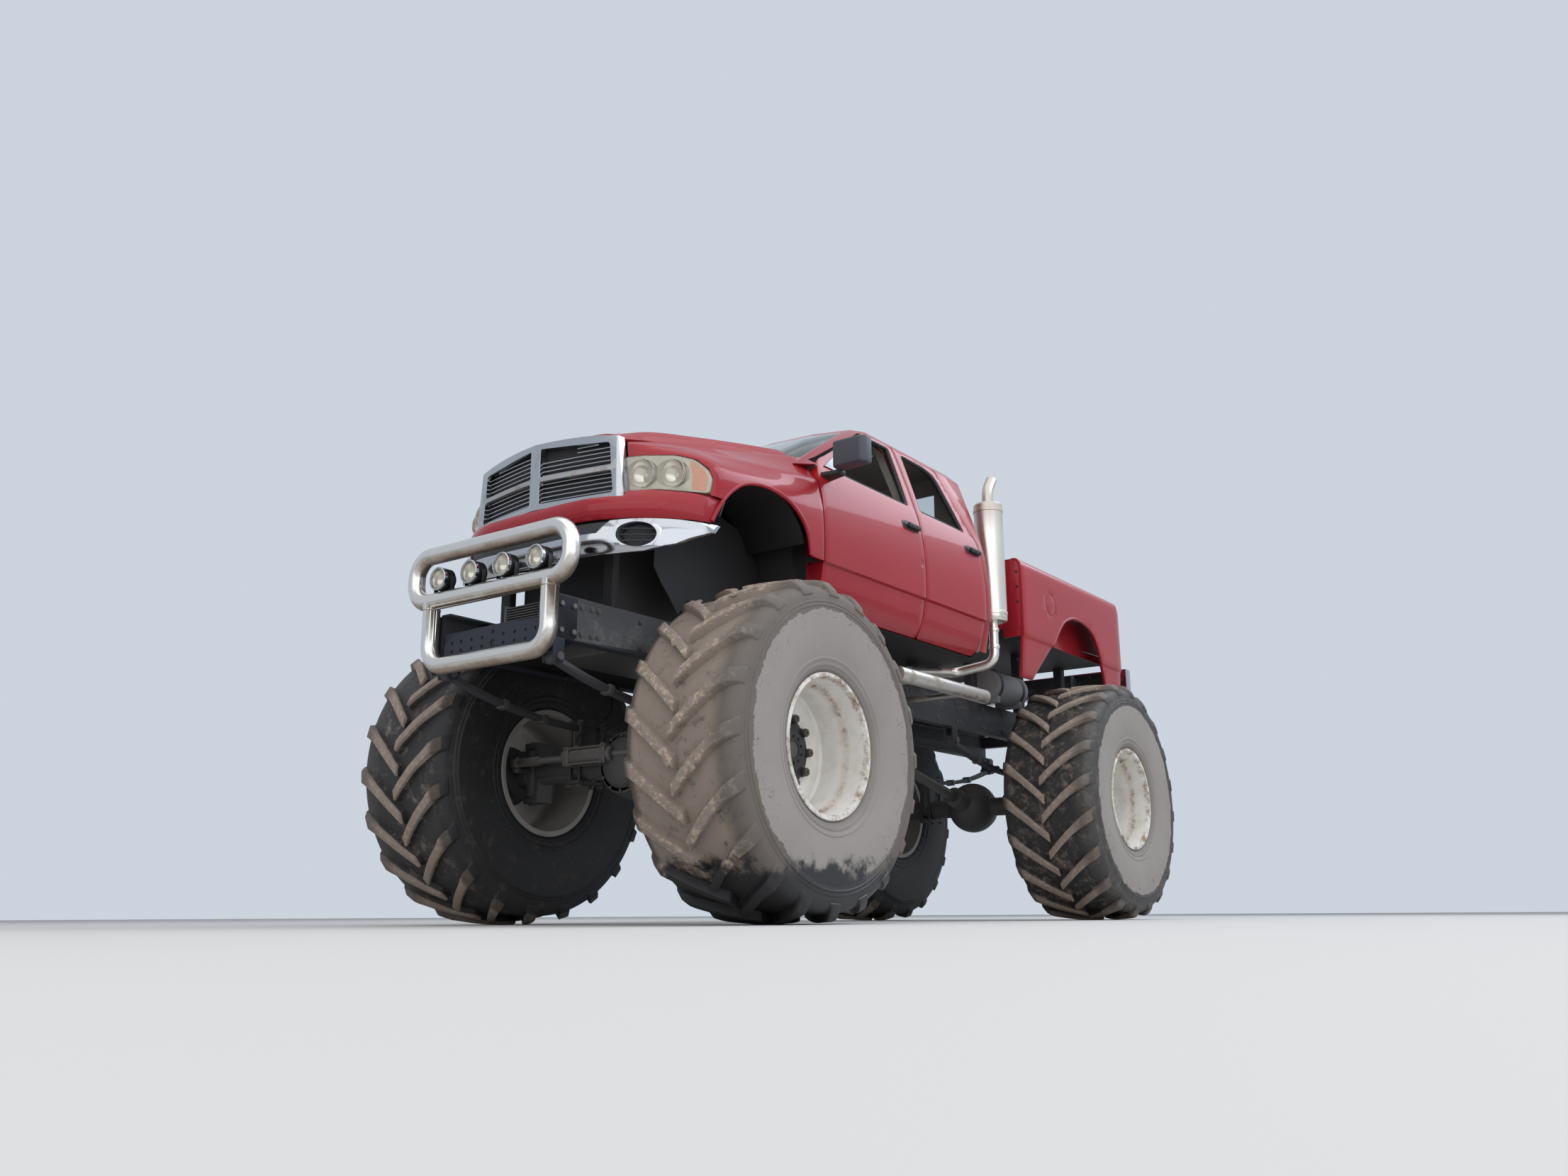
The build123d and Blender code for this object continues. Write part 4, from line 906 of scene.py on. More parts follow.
def panel(outline, outer, inner, name, step=0.05, inset=0.0, axis=1, extra=()):
    # A closed panel with its face on outer and its back on inner, both read across the axis
    obj = prism(outline, axis, 0.0, 1.0, name)
    first, second = [place for place in range(3) if place != axis]
    if inset:
        moved = {(round(a[0], 5), round(a[1], 5)): b for a, b in zip(outline, inward(outline, inset))}
        for vert in obj.data.vertices:
            if vert.co[axis] > 0.5:
                spot = moved[(round(vert.co[first], 5), round(vert.co[second], 5))]
                vert.co[first], vert.co[second] = spot
    sliced(obj, first, step)
    sliced(obj, second, step)
    slicedAt(obj, second, extra)
    for vert in obj.data.vertices:
        spot, depth = (vert.co[first], vert.co[second]), vert.co[axis]
        vert.co[axis] = outer(*spot) * (1 - depth) + inner(*spot) * depth
    faceOut(obj)
    return obj


def frontPanel(outline, form, near, far, name, step):
    # A panel that looks forward, between two depths behind a form
    return panel(outline, lambda y, z: form(y, z) - near, lambda y, z: form(y, z) - far, name, step, axis=0)


def sectionAt(rows, back):
    # The (y, up) points of a row that runs between the given ones
    count = len(rows[0][1])
    return [tuple(smoothLine([(row[0], row[1][index][axis]) for row in rows], back) for axis in range(2))
            for index in range(count)]


def loftSheet(rows, rowCount, columnCount, name, crease=None):
    # rows hold (back, [(y, up), ...]); a crease splits the smoothing across the rows
    bpy.ops.mesh.primitive_grid_add(x_subdivisions=rowCount, y_subdivisions=columnCount, size=1)
    obj = newest(name)
    near, far = rows[0][0], rows[-1][0]
    width = len(rows[0][1])

    def across(section, share, axis):
        points = [(index, section[index][axis]) for index in range(width)]
        if crease is None:
            return smoothLine(points, share)
        return smoothLine(points[:crease + 1] if share <= crease else points[crease:], share)

    for vert in obj.data.vertices:
        back = near + (far - near) * (vert.co.x + 0.5)
        section = sectionAt(rows, back)
        share = (vert.co.y + 0.5) * (width - 1)
        vert.co = at(back, across(section, share, 0), across(section, share, 1))
    faceOut(obj)
    if obj.data.polygons[0].normal.z < 0:
        obj.data.flip_normals()
    return obj


def thicken(obj, thickness):
    modify(obj, "SOLIDIFY", thickness=thickness, offset=-1, use_even_offset=True)


def bodyPoints(points):
    # (back, up) pairs, some with a third value, in metres
    return [(bx(point[0]), bz(point[1]), *point[2:]) for point in points]


def frontPoints(half):
    # (y, up) from the middle out, closed over the other side
    return [(y, bz(up)) for y, up in half] + [(-y, bz(up)) for y, up in reversed(half) if y > 0]


sideForm = {
    "low": [(0.360, 0.852), (0.430, 0.880), (0.480, 0.914), (0.560, 0.944), (0.640, 0.961), (0.694, 0.9675)],
    "high": [(0.708, 0.9845), (0.84, 0.9875), (0.97, 0.984), (1.10, 0.972), (1.21, 0.955), (1.29, 0.937),
             (1.340, 0.922)],
    "window": [(1.340, 0.921), (1.50, 0.868), (1.66, 0.811), (1.78, 0.767), (1.84, 0.742), (1.90, 0.695)],
}


def sideY(up):
    if up < 0.694:
        return smoothLine(sideForm["low"], up)
    if up < 0.708:
        return 0.9675 + 0.017 * easing(up, 0.694, 0.708)
    if up < 1.340:
        return smoothLine(sideForm["high"], up)
    return smoothLine(sideForm["window"], up)


def doorOuter(x, z):
    return sideY(z - body["datumZ"])


def doorInner(x, z):
    up = z - body["datumZ"]
    deep = 0.105 * (1 - easing(up, 1.27, 1.345)) * easing(up, 0.40, 0.56)
    return doorOuter(x, z) - 0.022 - deep - 0.020 * easing(up, 1.27, 1.345)


# back, up, corner radius
doors = {
    "front": {
        "outline": [(1.515, 0.440, 0.03), (1.515, 1.300, 0.03), (1.556, 1.392, 0.05), (1.650, 1.440, 0.05),
                    (2.330, 1.838, 0.10), (2.410, 1.866, 0.05), (2.731, 1.870, 0.02), (2.731, 0.440, 0.03)],
        "window": [(1.835, 1.352, 0.03), (1.835, 1.500, 0.03), (2.345, 1.790, 0.08), (2.440, 1.822, 0.05),
                   (2.664, 1.826, 0.04), (2.640, 1.352, 0.03)],
        "handle": (2.588, 1.188),
    },
    "rear": {
        "outline": [(2.739, 0.440, 0.03), (2.739, 1.870, 0.02), (3.180, 1.866, 0.12), (3.330, 1.832, 0.10),
                    (3.545, 1.360, 0.08), (3.600, 1.290, 0.08), (3.610, 0.730, 0.10), (3.560, 0.480, 0.06),
                    (3.530, 0.440, 0.04)],
        "window": [(2.805, 1.352, 0.03), (2.826, 1.824, 0.04), (3.165, 1.815, 0.10), (3.286, 1.770, 0.08),
                   (3.440, 1.352, 0.03)],
        "handle": (3.475, 1.212),
    },
}
doorDetail = {"creases": (0.694, 0.701, 0.708, 1.340), "thickBevel": 0.0045, "sealRadius": 0.013,
              "handleLength": 0.225, "handleHeight": 0.076, "gripLength": 0.155, "gripHeight": 0.034,
              "gripReach": 0.034}


def doorHandle(back, up, name, bodyName, sign):
    # A pocket that follows the door, with a thick lever that starts at its rear end
    d = doorDetail
    half, tall = d["handleLength"] / 2, d["handleHeight"] / 2
    middle, y, z = bx(back), sideY(up), bz(up)
    outline = rounded([(middle - half, z - tall * 0.75, 0.03), (middle - half, z + tall * 0.6, 0.03),
                       (middle + half * 0.4, z + tall, 0.05), (middle + half, z + tall * 0.5, 0.04),
                       (middle + half * 0.8, z - tall * 0.8, 0.05)])
    cup = panel(outline, lambda x, z: doorOuter(x, z) + 0.0035, lambda x, z: doorOuter(x, z) - 0.012,
                "cup", 0.04)
    bevel(cup, 0.003, 2, 50)
    rear = middle - half + 0.012
    fore = rear + d["gripLength"]
    thick = d["gripHeight"] / 2
    grip = block((rear, y + 0.006, z - thick), (fore, y + d["gripReach"], z + thick), "grip", 0.011, 4)
    lock = bar((fore + 0.024, y, z), (fore + 0.024, y + 0.008, z), 0.010, "lock", 20)
    piece = joined([cup, grip, lock], name)
    if sign < 0:
        flipSide(piece)
    finish(piece, bodyName, "plastic", (), 40)


def makeDoors():
    for place, door in doors.items():
        outline = rounded(bodyPoints(door["outline"]))
        window = rounded(bodyPoints(door["window"]))
        leaf = panel(outline, doorOuter, doorInner, "leaf", 0.05, body["doorInset"],
                     extra=[bz(up) for up in doorDetail["creases"]])
        cut(leaf, prism(window, 1, 0.4, 1.2, "windowTool"))
        bevel(leaf, doorDetail["thickBevel"], 2, 50)
        for look in ("paint", "darkTrim", "rubber"):
            leaf.data.materials.append(materials[look])
        middleX = sum(x for x, z in window) / len(window)
        reach = max(abs(x - middleX) for x, z in window)
        for face in leaf.data.polygons:
            x, y, z = face.center
            inOpening = abs(x - middleX) < reach + 0.02 and z > bz(1.345) and abs(face.normal.y) < 0.35
            towards = (middleX - x) * face.normal.x + (bz(1.58) - z) * face.normal.z
            if face.normal.y < -0.5 and y < doorOuter(x, z) - 0.02:
                face.material_index = 1
            elif inOpening and towards > 0:
                face.material_index = 2
        for side, sign in bothSides:
            bodyName = f"door_{place}_{side}"
            piece = sideCopy(leaf, "doorLeaf_" + bodyName, sign)
            finish(piece, bodyName, None, (bodyName,), 32)
            doorHandle(*door["handle"], "doorHandle_" + bodyName, bodyName, sign)
            points = [(x, (doorOuter(x, z) - 0.016) * sign, z) for x, z in inward(window, 0.006)]
            seal = tube(points, doorDetail["sealRadius"], "windowSeal_" + bodyName, 0.004, True, 2)
            finish(seal, bodyName, "rubber")
        bpy.data.objects.remove(leaf)
    print("doors made")


makeDoors()


# Front sheet metal

# back, then y and up of the shut line, crease, upper side, side and lower edge
fender = {
    "rows": [
        (0.200, [(0.552, 1.180), (0.562, 1.165), (0.568, 1.085), (0.574, 0.880), (0.690, 0.700)]),
        (0.310, [(0.558, 1.212), (0.682, 1.160), (0.760, 1.082), (0.768, 0.875), (0.872, 0.700)]),
        (0.455, [(0.572, 1.252), (0.772, 1.166), (0.915, 1.060), (0.936, 0.870), (0.938, 0.700)]),
        (0.600, [(0.585, 1.280), (0.815, 1.172), (0.957, 1.040), (0.972, 0.870), (0.962, 0.700)]),
        (0.950, [(0.646, 1.337), (0.872, 1.196), (0.972, 1.050), (0.984, 0.870), (0.984, 0.705)]),
        (1.505, [(0.760, 1.424), (0.941, 1.232), (0.976, 1.050), (0.987, 0.870), (0.984, 0.706)]),
    ],
    "arch": [(0.458, 0.640), (0.476, 0.700), (0.545, 0.835), (0.640, 0.935), (0.760, 1.000), (0.950, 1.030),
             (1.150, 1.000), (1.285, 0.920), (1.350, 0.826), (1.378, 0.700), (1.383, 0.640)],
    "skin": 0.016, "lip": 0.013,
}
lampFace = [(0.556, 0.886), (0.640, 0.880), (0.712, 0.888), (0.780, 0.880), (0.938, 0.866), (0.946, 0.960),
            (0.930, 1.010), (0.880, 1.060), (0.800, 1.084), (0.556, 1.086)]
grilleRoom = [(0.0, 1.240), (0.556, 1.204), (0.598, 0.838), (0.0, 0.838)]

# The plans hold (y, back), the faces (y, up)
front = {
    "valancePlan": [(0.0, 0.012), (0.20, 0.014), (0.40, 0.026), (0.520, 0.062), (0.600, 0.104),
                    (0.690, 0.160), (0.780, 0.232), (0.850, 0.300), (0.910, 0.390), (0.945, 0.475),
                    (0.958, 0.560), (0.970, 0.66)],
    "valanceFace": [(0.0, 0.712), (0.700, 0.706), (0.956, 0.706), (0.960, 0.842), (0.936, 0.856),
                    (0.780, 0.870), (0.712, 0.878), (0.640, 0.870), (0.606, 0.874), (0.606, 0.834),
                    (0.0, 0.834)],
    "noseRoom": [(0.540, 0.690), (0.540, 0.888), (0.640, 0.876), (0.712, 0.884), (0.780, 0.876),
                 (0.938, 0.862), (1.000, 0.836), (1.000, 0.690)],
    "bumperPlan": [(0.0, 0.000), (0.20, 0.002), (0.40, 0.012), (0.560, 0.060), (0.683, 0.133), (0.850, 0.290),
                   (0.936, 0.470), (0.96, 0.56)],
    "bumperFace": [(0.0, 0.494), (0.600, 0.505), (0.720, 0.516), (0.850, 0.560), (0.940, 0.650),
                   (0.945, 0.698), (0.700, 0.700), (0.560, 0.690), (0.500, 0.620), (0.0, 0.617)],
    "insertFace": [(0.0, 0.618), (0.499, 0.621), (0.556, 0.688), (0.0, 0.694)],
    "fog": {"y": 0.690, "up": 0.609, "halfWidth": 0.089, "halfHeight": 0.071, "slatGap": 0.034},
    "lampPlan": [(0.50, 0.160), (0.556, 0.186), (0.650, 0.228), (0.756, 0.298), (0.850, 0.370),
                 (0.945, 0.458)],
}


def fenderSide(back, up):
    section = sectionAt(fender["rows"], back)[1:]
    return smoothLine([(height, y) for y, height in reversed(section)], up)


def frontTool(points, back0, back1):
    return prism([(y, bz(up)) for y, up in points], 0, bx(back1), bx(back0), "frontTool")


def sideTool(points, sign=1):
    low, high = sorted((0.3 * sign, 1.3 * sign))
    return prism(bodyPoints(points), 1, low, high, "sideTool")


def makeFenders():
    skin = loftSheet(fender["rows"], 40, 34, "fenderSkin", 1)
    thicken(skin, fender["skin"])
    arch = curved(fender["arch"], 44)
    cut(skin, sideTool(arch))
    cut(skin, sideTool([(0.0, 0.50), (1.6, 0.50), (1.6, 0.702), (0.0, 0.702)]))
    cut(skin, frontTool(grilleRoom, -0.1, 0.26))
    # The opening is a little larger than the lamp on every side
    lampHole = [(y + (0.004 if y > 0.7 else -0.02), up + (0.004 if up > 0.98 else -0.004))
                for y, up in lampFace]
    cut(skin, frontTool(lampHole, 0.0, 0.50))
    cut(skin, frontTool(front["noseRoom"], -0.1, 0.62))
    bevel(skin, 0.003, 2, 50)
    points = [at(back, fenderSide(back, up) - 0.008, up) for back, up in arch if up > 0.704]
    lip = tube(points, fender["lip"], "archLip", 0.01, sides=2)
    left = joined([skin, lip], "fenderPiece_left")
    right = mirroredCopy(left, "fenderPiece_right")
    for piece in (left, right):
        finish(piece, "chassis", "paint", ("fenders",), 28)
    print("fenders made")


# back, centre up, shoulder y, shoulder up, edge y, edge up
hood = {
    "rows": [(0.030, 1.213, 0.385, 1.206, 0.534, 1.172), (0.200, 1.258, 0.428, 1.249, 0.548, 1.197),
             (0.450, 1.345, 0.470, 1.331, 0.566, 1.250), (0.800, 1.420, 0.510, 1.398, 0.598, 1.312),
             (1.180, 1.480, 0.570, 1.455, 0.688, 1.358), (1.486, 1.515, 0.630, 1.485, 0.748, 1.418)],
    "plan": [(0.078, 0.0), (0.084, 0.20), (0.112, 0.40), (0.176, 0.560), (0.176, 0.800), (1.484, 0.800),
             (1.440, 0.450), (1.430, 0.0)],
    "skin": 0.020,
}


def makeHood():
    rows = []
    for back, centre, shoulderY, shoulder, edgeY, edge in hood["rows"]:
        half = [(0.0, centre), (shoulderY * 0.5, centre * 0.45 + shoulder * 0.55 + 0.004),
                (shoulderY, shoulder),
                (edgeY * 0.5 + shoulderY * 0.5 + 0.006, shoulder * 0.5 + edge * 0.5 + 0.012), (edgeY, edge)]
        rows.append((back, [(-y, up) for y, up in reversed(half) if y > 0] + half))
    skin = loftSheet(rows, 34, 44, "hoodSkin")
    thicken(skin, hood["skin"])
    plan = [(bx(back), y) for back, y in hood["plan"]]
    plan += [(bx(back), -y) for back, y in reversed(hood["plan"]) if y > 0]
    cut(skin, prism(plan, 2, 2.2, 3.2, "hoodTool"), "INTERSECT")
    bevel(skin, 0.005, 3, 45)
    finish(skin, "hood", "paint", ("hood",), 30)
    print("hood made")


makeFenders()
makeHood()


# Bumper, nose panel, headlamps and grille

def ellipse(y, up, halfWidth, halfHeight, count=36):
    turns = [2 * math.pi * turn / count for turn in range(count)]
    return [(y + halfWidth * math.cos(turn), up + halfHeight * math.sin(turn)) for turn in turns]


def bumperX(y, z):
    up = z - body["datumZ"]
    roll = 0.030 * max(abs(up - 0.600) / 0.105, 0.0) ** 3.0
    return bx(smoothLine(front["bumperPlan"], abs(y)) + min(roll, 0.05))


def valanceX(y, z):
    return bx(smoothLine(front["valancePlan"], abs(y)) + 0.02 * ((z - bz(0.775)) / 0.06) ** 2)


def lampX(y, z):
    return bx(smoothLine(front["lampPlan"], abs(y)))


def fogRing(sign, margin):
    fog = front["fog"]
    outline = ellipse(fog["y"], fog["up"], fog["halfWidth"] + margin, fog["halfHeight"] + margin)
    return [(y * sign, bz(up)) for y, up in outline]


def fogTube(sign, margin, fore, rear, name):
    # An oval tube whose two ends follow the bumper's face
    obj = prism(fogRing(sign, margin), 0, 0.0, 1.0, name)
    for vert in obj.data.vertices:
        vert.co.x = bumperX(vert.co.y, vert.co.z) + (fore if vert.co.x > 0.5 else rear)
    return obj


def makeBumper():
    chrome = frontPanel(frontPoints(front["bumperFace"]), bumperX, 0.0, 0.028, "chromeBand", 0.045)
    fog = front["fog"]
    for sign in (1, -1):
        cut(chrome, prism(fogRing(sign, 0.0), 0, 2.4, 3.3, "fogTool"))
    bevel(chrome, 0.005, 3, 50)
    finish(chrome, "chassis", "chrome", ("front_bumper",), 30)
    parts = []
    for sign in (1, -1):
        ring = fogTube(sign, 0.010, -0.012, -0.075, "fogCup")
        cut(ring, fogTube(sign, -0.004, 0.05, -0.062, "fogHollow"))
        tidyMesh(ring)
        parts.append(ring)
        for row in (-1, 0, 1):
            up = fog["up"] + row * fog["slatGap"]
            half = fog["halfWidth"] * math.sqrt(1 - (row * fog["slatGap"] / fog["halfHeight"]) ** 2)
            points = [((fog["y"] + share * half) * sign, bz(up)) for share in (-1, -0.5, 0, 0.5, 1)]
            points = [(bumperX(y, z) - 0.030, y, z) for y, z in points]
            parts.append(tube(points, 0.0055, "fogSlat", 0.02, sides=3))
    finish(joined(parts, "fogRecesses"), "chassis", "plastic")
    insert = frontPanel(frontPoints(front["insertFace"]), bumperX, 0.012, 0.034, "bumperInsertSkin", 0.06)
    bevel(insert, 0.003, 2, 50)
    finish(insert, "chassis", "plastic", ("bumper_insert",), 30)


def makeValance():
    skin = frontPanel(frontPoints(front["valanceFace"]), valanceX, 0.0, 0.018, "nosePanel", 0.03)
    arch = curved(fender["arch"], 44)
    cut(skin, sideTool(arch))
    cut(skin, sideTool(arch, -1))
    bevel(skin, 0.004, 2, 50)
    finish(skin, "chassis", "paint", ("valance",), 30)


# Each bowl's y, up and radius, and the outline of the amber block beside them
headlamp = {
    "bowls": [(0.642, 0.982, 0.082), (0.784, 0.980, 0.080)],
    "bulb": [(0.001, -0.03), (0.014, -0.032), (0.017, -0.045), (0.014, -0.070), (0.001, -0.070)],
    "amber": [(0.868, 0.886), (0.928, 0.880), (0.934, 0.958), (0.918, 1.004), (0.872, 1.048), (0.858, 1.050),
              (0.872, 0.970)],
}


def lampBowl(radius):
    profile = [(0.012, -0.066), (0.030, -0.062), (0.050, -0.048), (radius - 0.006, -0.022),
               (radius - 0.001, 0.002), (radius + 0.003, 0.002), (radius - 0.002, -0.026),
               (0.052, -0.053), (0.030, -0.067), (0.012, -0.071)]
    return lathe(profile, 40, "bowl")


def makeHeadlamps():
    for side, sign in bothSides:
        outline = [(y * sign, z) for y, z in rounded([(y, bz(up), 0.02) for y, up in lampFace], 3)]
        lens = frontPanel(outline, lampX, 0.0, 0.005, "lampLens_" + side, 0.04)
        bevel(lens, 0.0015, 2, 50)
        finish(lens, "chassis", "lens")
        pan = frontPanel(inward(outline, 0.003), lampX, 0.007, 0.085, "lampPan_" + side, 0.05)
        parts = []
        for y, up, radius in headlamp["bowls"]:
            x = lampX(y, 0) - 0.012
            cut(pan, bar((x - 0.055, y * sign, bz(up)), (x + 0.12, y * sign, bz(up)), radius, "bowlTool", 40))
            bulb = lathe(headlamp["bulb"], 24, "bulbCap")
            for part, look in ((lampBowl(radius), "reflector"), (bulb, "bulb")):
                turnedForward(part, (x, y * sign, bz(up)))
                part.data.materials.append(materials[look])
                parts.append(part)
        finish(pan, "chassis", "bezel", ("headlamps",))
        finish(joined(parts, "lampBowls_" + side), "chassis", None)
        amber = rounded([(y * sign, bz(up), 0.012) for y, up in headlamp["amber"]], 3)
        amberBlock = frontPanel(amber, lampX, 0.0055, 0.03, "amberBlock_" + side, 0.02)
        bevel(amberBlock, 0.002, 2, 50)
        finish(amberBlock, "chassis", "amber")


# A window's inner y, outer y above and below, low edge, and the upper edge inside and outside
grille = {"top": 1.233, "fall": 0.035, "fallPower": 3.0, "topY": 0.553, "planMiddle": 0.036,
          "planEdge": 0.144, "edgeY": 0.600, "barUp": 1.018, "slats": 12, "slatUp": 0.892,
          "slatPitch": 0.0255, "slatRadius": 0.0042,
          "windows": ((0.038, 0.500, 0.512, 1.032, 1.200, 1.168), (0.038, 0.514, 0.526, 0.872, 1.004, 1.004))}


def grilleX(y, z):
    g = grille
    return bx(g["planMiddle"] + (g["planEdge"] - g["planMiddle"]) * (abs(y) / g["edgeY"]) ** 1.25)


def grillePart(place, normal):
    # The bar across the middle is dull
    return 1 if abs(place.z - bz(grille["barUp"])) < 0.020 and 0.040 < abs(place.y) < 0.512 else 0


def makeGrille():
    g = grille
    shares = [step / 8 for step in range(9)]
    top = [(g["topY"] * share, g["top"] - g["fall"] * share ** g["fallPower"]) for share in shares]
    outline = frontPoints(top + [(0.595, 0.840), (0.0, 0.840)])
    chrome = frontPanel(outline, grilleX, 0.0, 0.050, "grilleSurround", 0.05)
    for sign in (1, -1):
        for inner, outerHigh, outerLow, low, highInner, highOuter in g["windows"]:
            hole = [(sign * inner, bz(highInner), 0.012), (sign * outerHigh, bz(highOuter), 0.02),
                    (sign * outerLow, bz(low), 0.02), (sign * inner, bz(low), 0.012)]
            cut(chrome, prism(rounded(hole, 4), 0, 2.5, 3.3, "grilleTool"))
    bevel(chrome, 0.009, 3, 50)
    finish(chrome, "hood", None, ("grille",))
    paintedBy(chrome, ("chrome", "dullSteel"), grillePart)
    slats = []
    for row in range(g["slats"]):
        up = g["slatUp"] + row * g["slatPitch"]
        if abs(up - g["barUp"]) < 0.014:
            continue
        reach = 0.520 if up < 1.15 else 0.520 - 5.0 * (up - 1.15)
        for side, sign in bothSides:
            # The two top slats on the left are broken off short of the middle
            inner = 0.270 if side == "left" and up > 1.13 else 0.030
            across = [inner + (reach - inner) * share / 6 for share in range(7)]
            points = [(grilleX(y, up) - 0.030, y * sign, bz(up)) for y in across]
            slats.append(tube(points, g["slatRadius"], "slat", 0.03, sides=2))
    finish(joined(slats, "grilleSlats"), "hood", "chrome")
    back = frontPanel(inward(outline, 0.02), grilleX, 0.052, 0.066, "grilleBacking", 0.06)
    finish(back, "hood", "rubber")
    print("grille made")


makeBumper()
makeValance()
makeHeadlamps()
makeGrille()


# Cab

# Where the cab shell's paint ends: the inside is trim, the floor and what faces the engine are liner
cabZone = {"sill": 0.52, "floor": 0.60, "cowl": 1.325, "cowlBack": 1.57, "cowlY": 0.83, "roof": 1.50,
           "header": 1.28, "headerBack": (1.90, 3.46), "wallBack": (1.60, 3.66), "wallY": 0.30,
           "rearWall": 0.55, "rearWallBack": 3.55}


def cabPart(place, normal):
    zone = cabZone
    up = place.z - body["datumZ"]
    back = body["faceX"] - place.x
    underside = up < zone["sill"] and normal.z < -0.5
    cowl = (back < zone["cowlBack"] and up < zone["cowl"]
            and (normal.x > 0.3 or abs(place.y) < zone["cowlY"]))
    floor = up < zone["floor"] and normal.z > 0.5
    if underside or cowl or floor:
        return 2
    roof = up > zone["roof"] and normal.z < -0.35
    first, last = zone["headerBack"]
    header = up > zone["header"] and first < back < last and abs(normal.x) > 0.4 and normal.z < 0.3
    first, last = zone["wallBack"]
    sideWall = (first < back < last and up > zone["sill"]
                and normal.y * place.y < -0.02 and abs(place.y) > zone["wallY"])
    rearWall = up > zone["rearWall"] and back > zone["rearWallBack"] and normal.x > 0.5
    return 1 if roof or header or sideWall or rearWall else 0


def makeCab():
    shell = dressed("cab_shell", "cabBody", None, 0.005, 2, 33, 44)
    paintedBy(shell, ("paint", "trim", "liner"), cabPart)
    dressed("windscreen", "windscreenGlass", "glass", 0.001, 1, 40, 50)
    dressed("rear_window", "rearGlass", "glass", 0.002, 1)
    print("cab made")


# The plans hold (back, y); the glass and the line that splits it go between opposite corners
mirror = {
    "sailUp": 1.352,
    "shells": {"mirrorHead": {"plan": [(1.506, 1.050), (1.502, 1.262), (1.530, 1.288), (1.600, 1.288),
                                       (1.604, 1.040)],
                              "low": 1.286, "high": 1.464, "bevel": 0.040, "segments": 6, "look": "mirror"},
               "mirrorArm": {"plan": [(1.545, 0.912), (1.672, 0.912), (1.628, 1.074), (1.562, 1.078)],
                             "low": 1.262, "high": 1.2975, "bevel": 0.014, "segments": 4, "look": "plastic"}},
    "glass": ((1.6085, 1.066, 1.310), (1.6045, 1.266, 1.448), 0.0015),
    "split": ((1.6085, 1.050, 1.340), (1.6125, 1.280, 1.346), 0.0),
}


def makeMirrors():
    for side, sign in bothSides:
        door = "door_front_" + side
        sail = refined("mirror_" + side, "mirrorSail_" + side, 0.0)
        cut(sail, block(at(1.9, -1.2, mirror["sailUp"]), at(1.608, 1.2, 1.6), "sailRoom"), "INTERSECT")
        bevel(sail, 0.0015, 2, 50)
        finish(sail, door, "mirrorSail")
        for name, shell in mirror["shells"].items():
            plan = [(bx(back), y) for back, y in shell["plan"]]
            piece = prism(plan, 2, bz(shell["low"]), bz(shell["high"]), name + "_" + side)
            bevel(piece, shell["bevel"], shell["segments"])
            if sign < 0:
                flipSide(piece)
            replaced = ("mirror_" + side,) if name == "mirrorHead" else ()
            finish(piece, door, shell["look"], replaced, 40)
        parts = []
        for kind in ("glass", "split"):
            (back0, y0, up0), (back1, y1, up1), width = mirror[kind]
            parts.append(block(at(back0, y0 * sign, up0), at(back1, y1 * sign, up1), kind, width))
        finish(joined(parts, "mirrorGlass_" + side), door, "mirrorGlass")


def seatShape(outline, low, high, name, bevelWidth):
    shape = prism(rounded(bodyPoints(outline), 4), 1, low, high, name)
    sliced(shape, 1, 0.12)
    bevel(shape, bevelWidth, 4, 60)
    return shape


# Outlines in back, up and corner radius, and where the seats stand across the cab
seats = [
    {"cushion": [(2.050, 0.502, 0.02), (2.050, 0.655, 0.05), (2.478, 0.640, 0.04), (2.500, 0.502, 0.02)],
     "backRest": [(2.500, 0.600, 0.03), (2.565, 1.200, 0.04), (2.668, 1.200, 0.04), (2.630, 0.504, 0.02),
                  (2.500, 0.504, 0.02)],
     "y": (-0.40, 0.40), "halves": (0.255, 0.250), "bevel": 0.028, "headRest": True},
    {"cushion": [(2.950, 0.502, 0.02), (2.950, 0.655, 0.05), (3.378, 0.640, 0.04), (3.400, 0.502, 0.02)],
     "backRest": [(3.395, 0.600, 0.03), (3.445, 1.215, 0.04), (3.552, 1.215, 0.04), (3.535, 0.504, 0.02),
                  (3.395, 0.504, 0.02)],
     "y": (-0.35, 0.35), "halves": (0.345, 0.345), "bevel": 0.03, "headRest": False},
]
dash = {"ventY": (-0.68, -0.08, 0.10, 0.68), "ventHalf": 0.055, "ventUp": 1.010, "ventPitch": 0.018,
        "ventHeight": 0.008, "dialY": (0.33, 0.46), "dialRadius": 0.045}


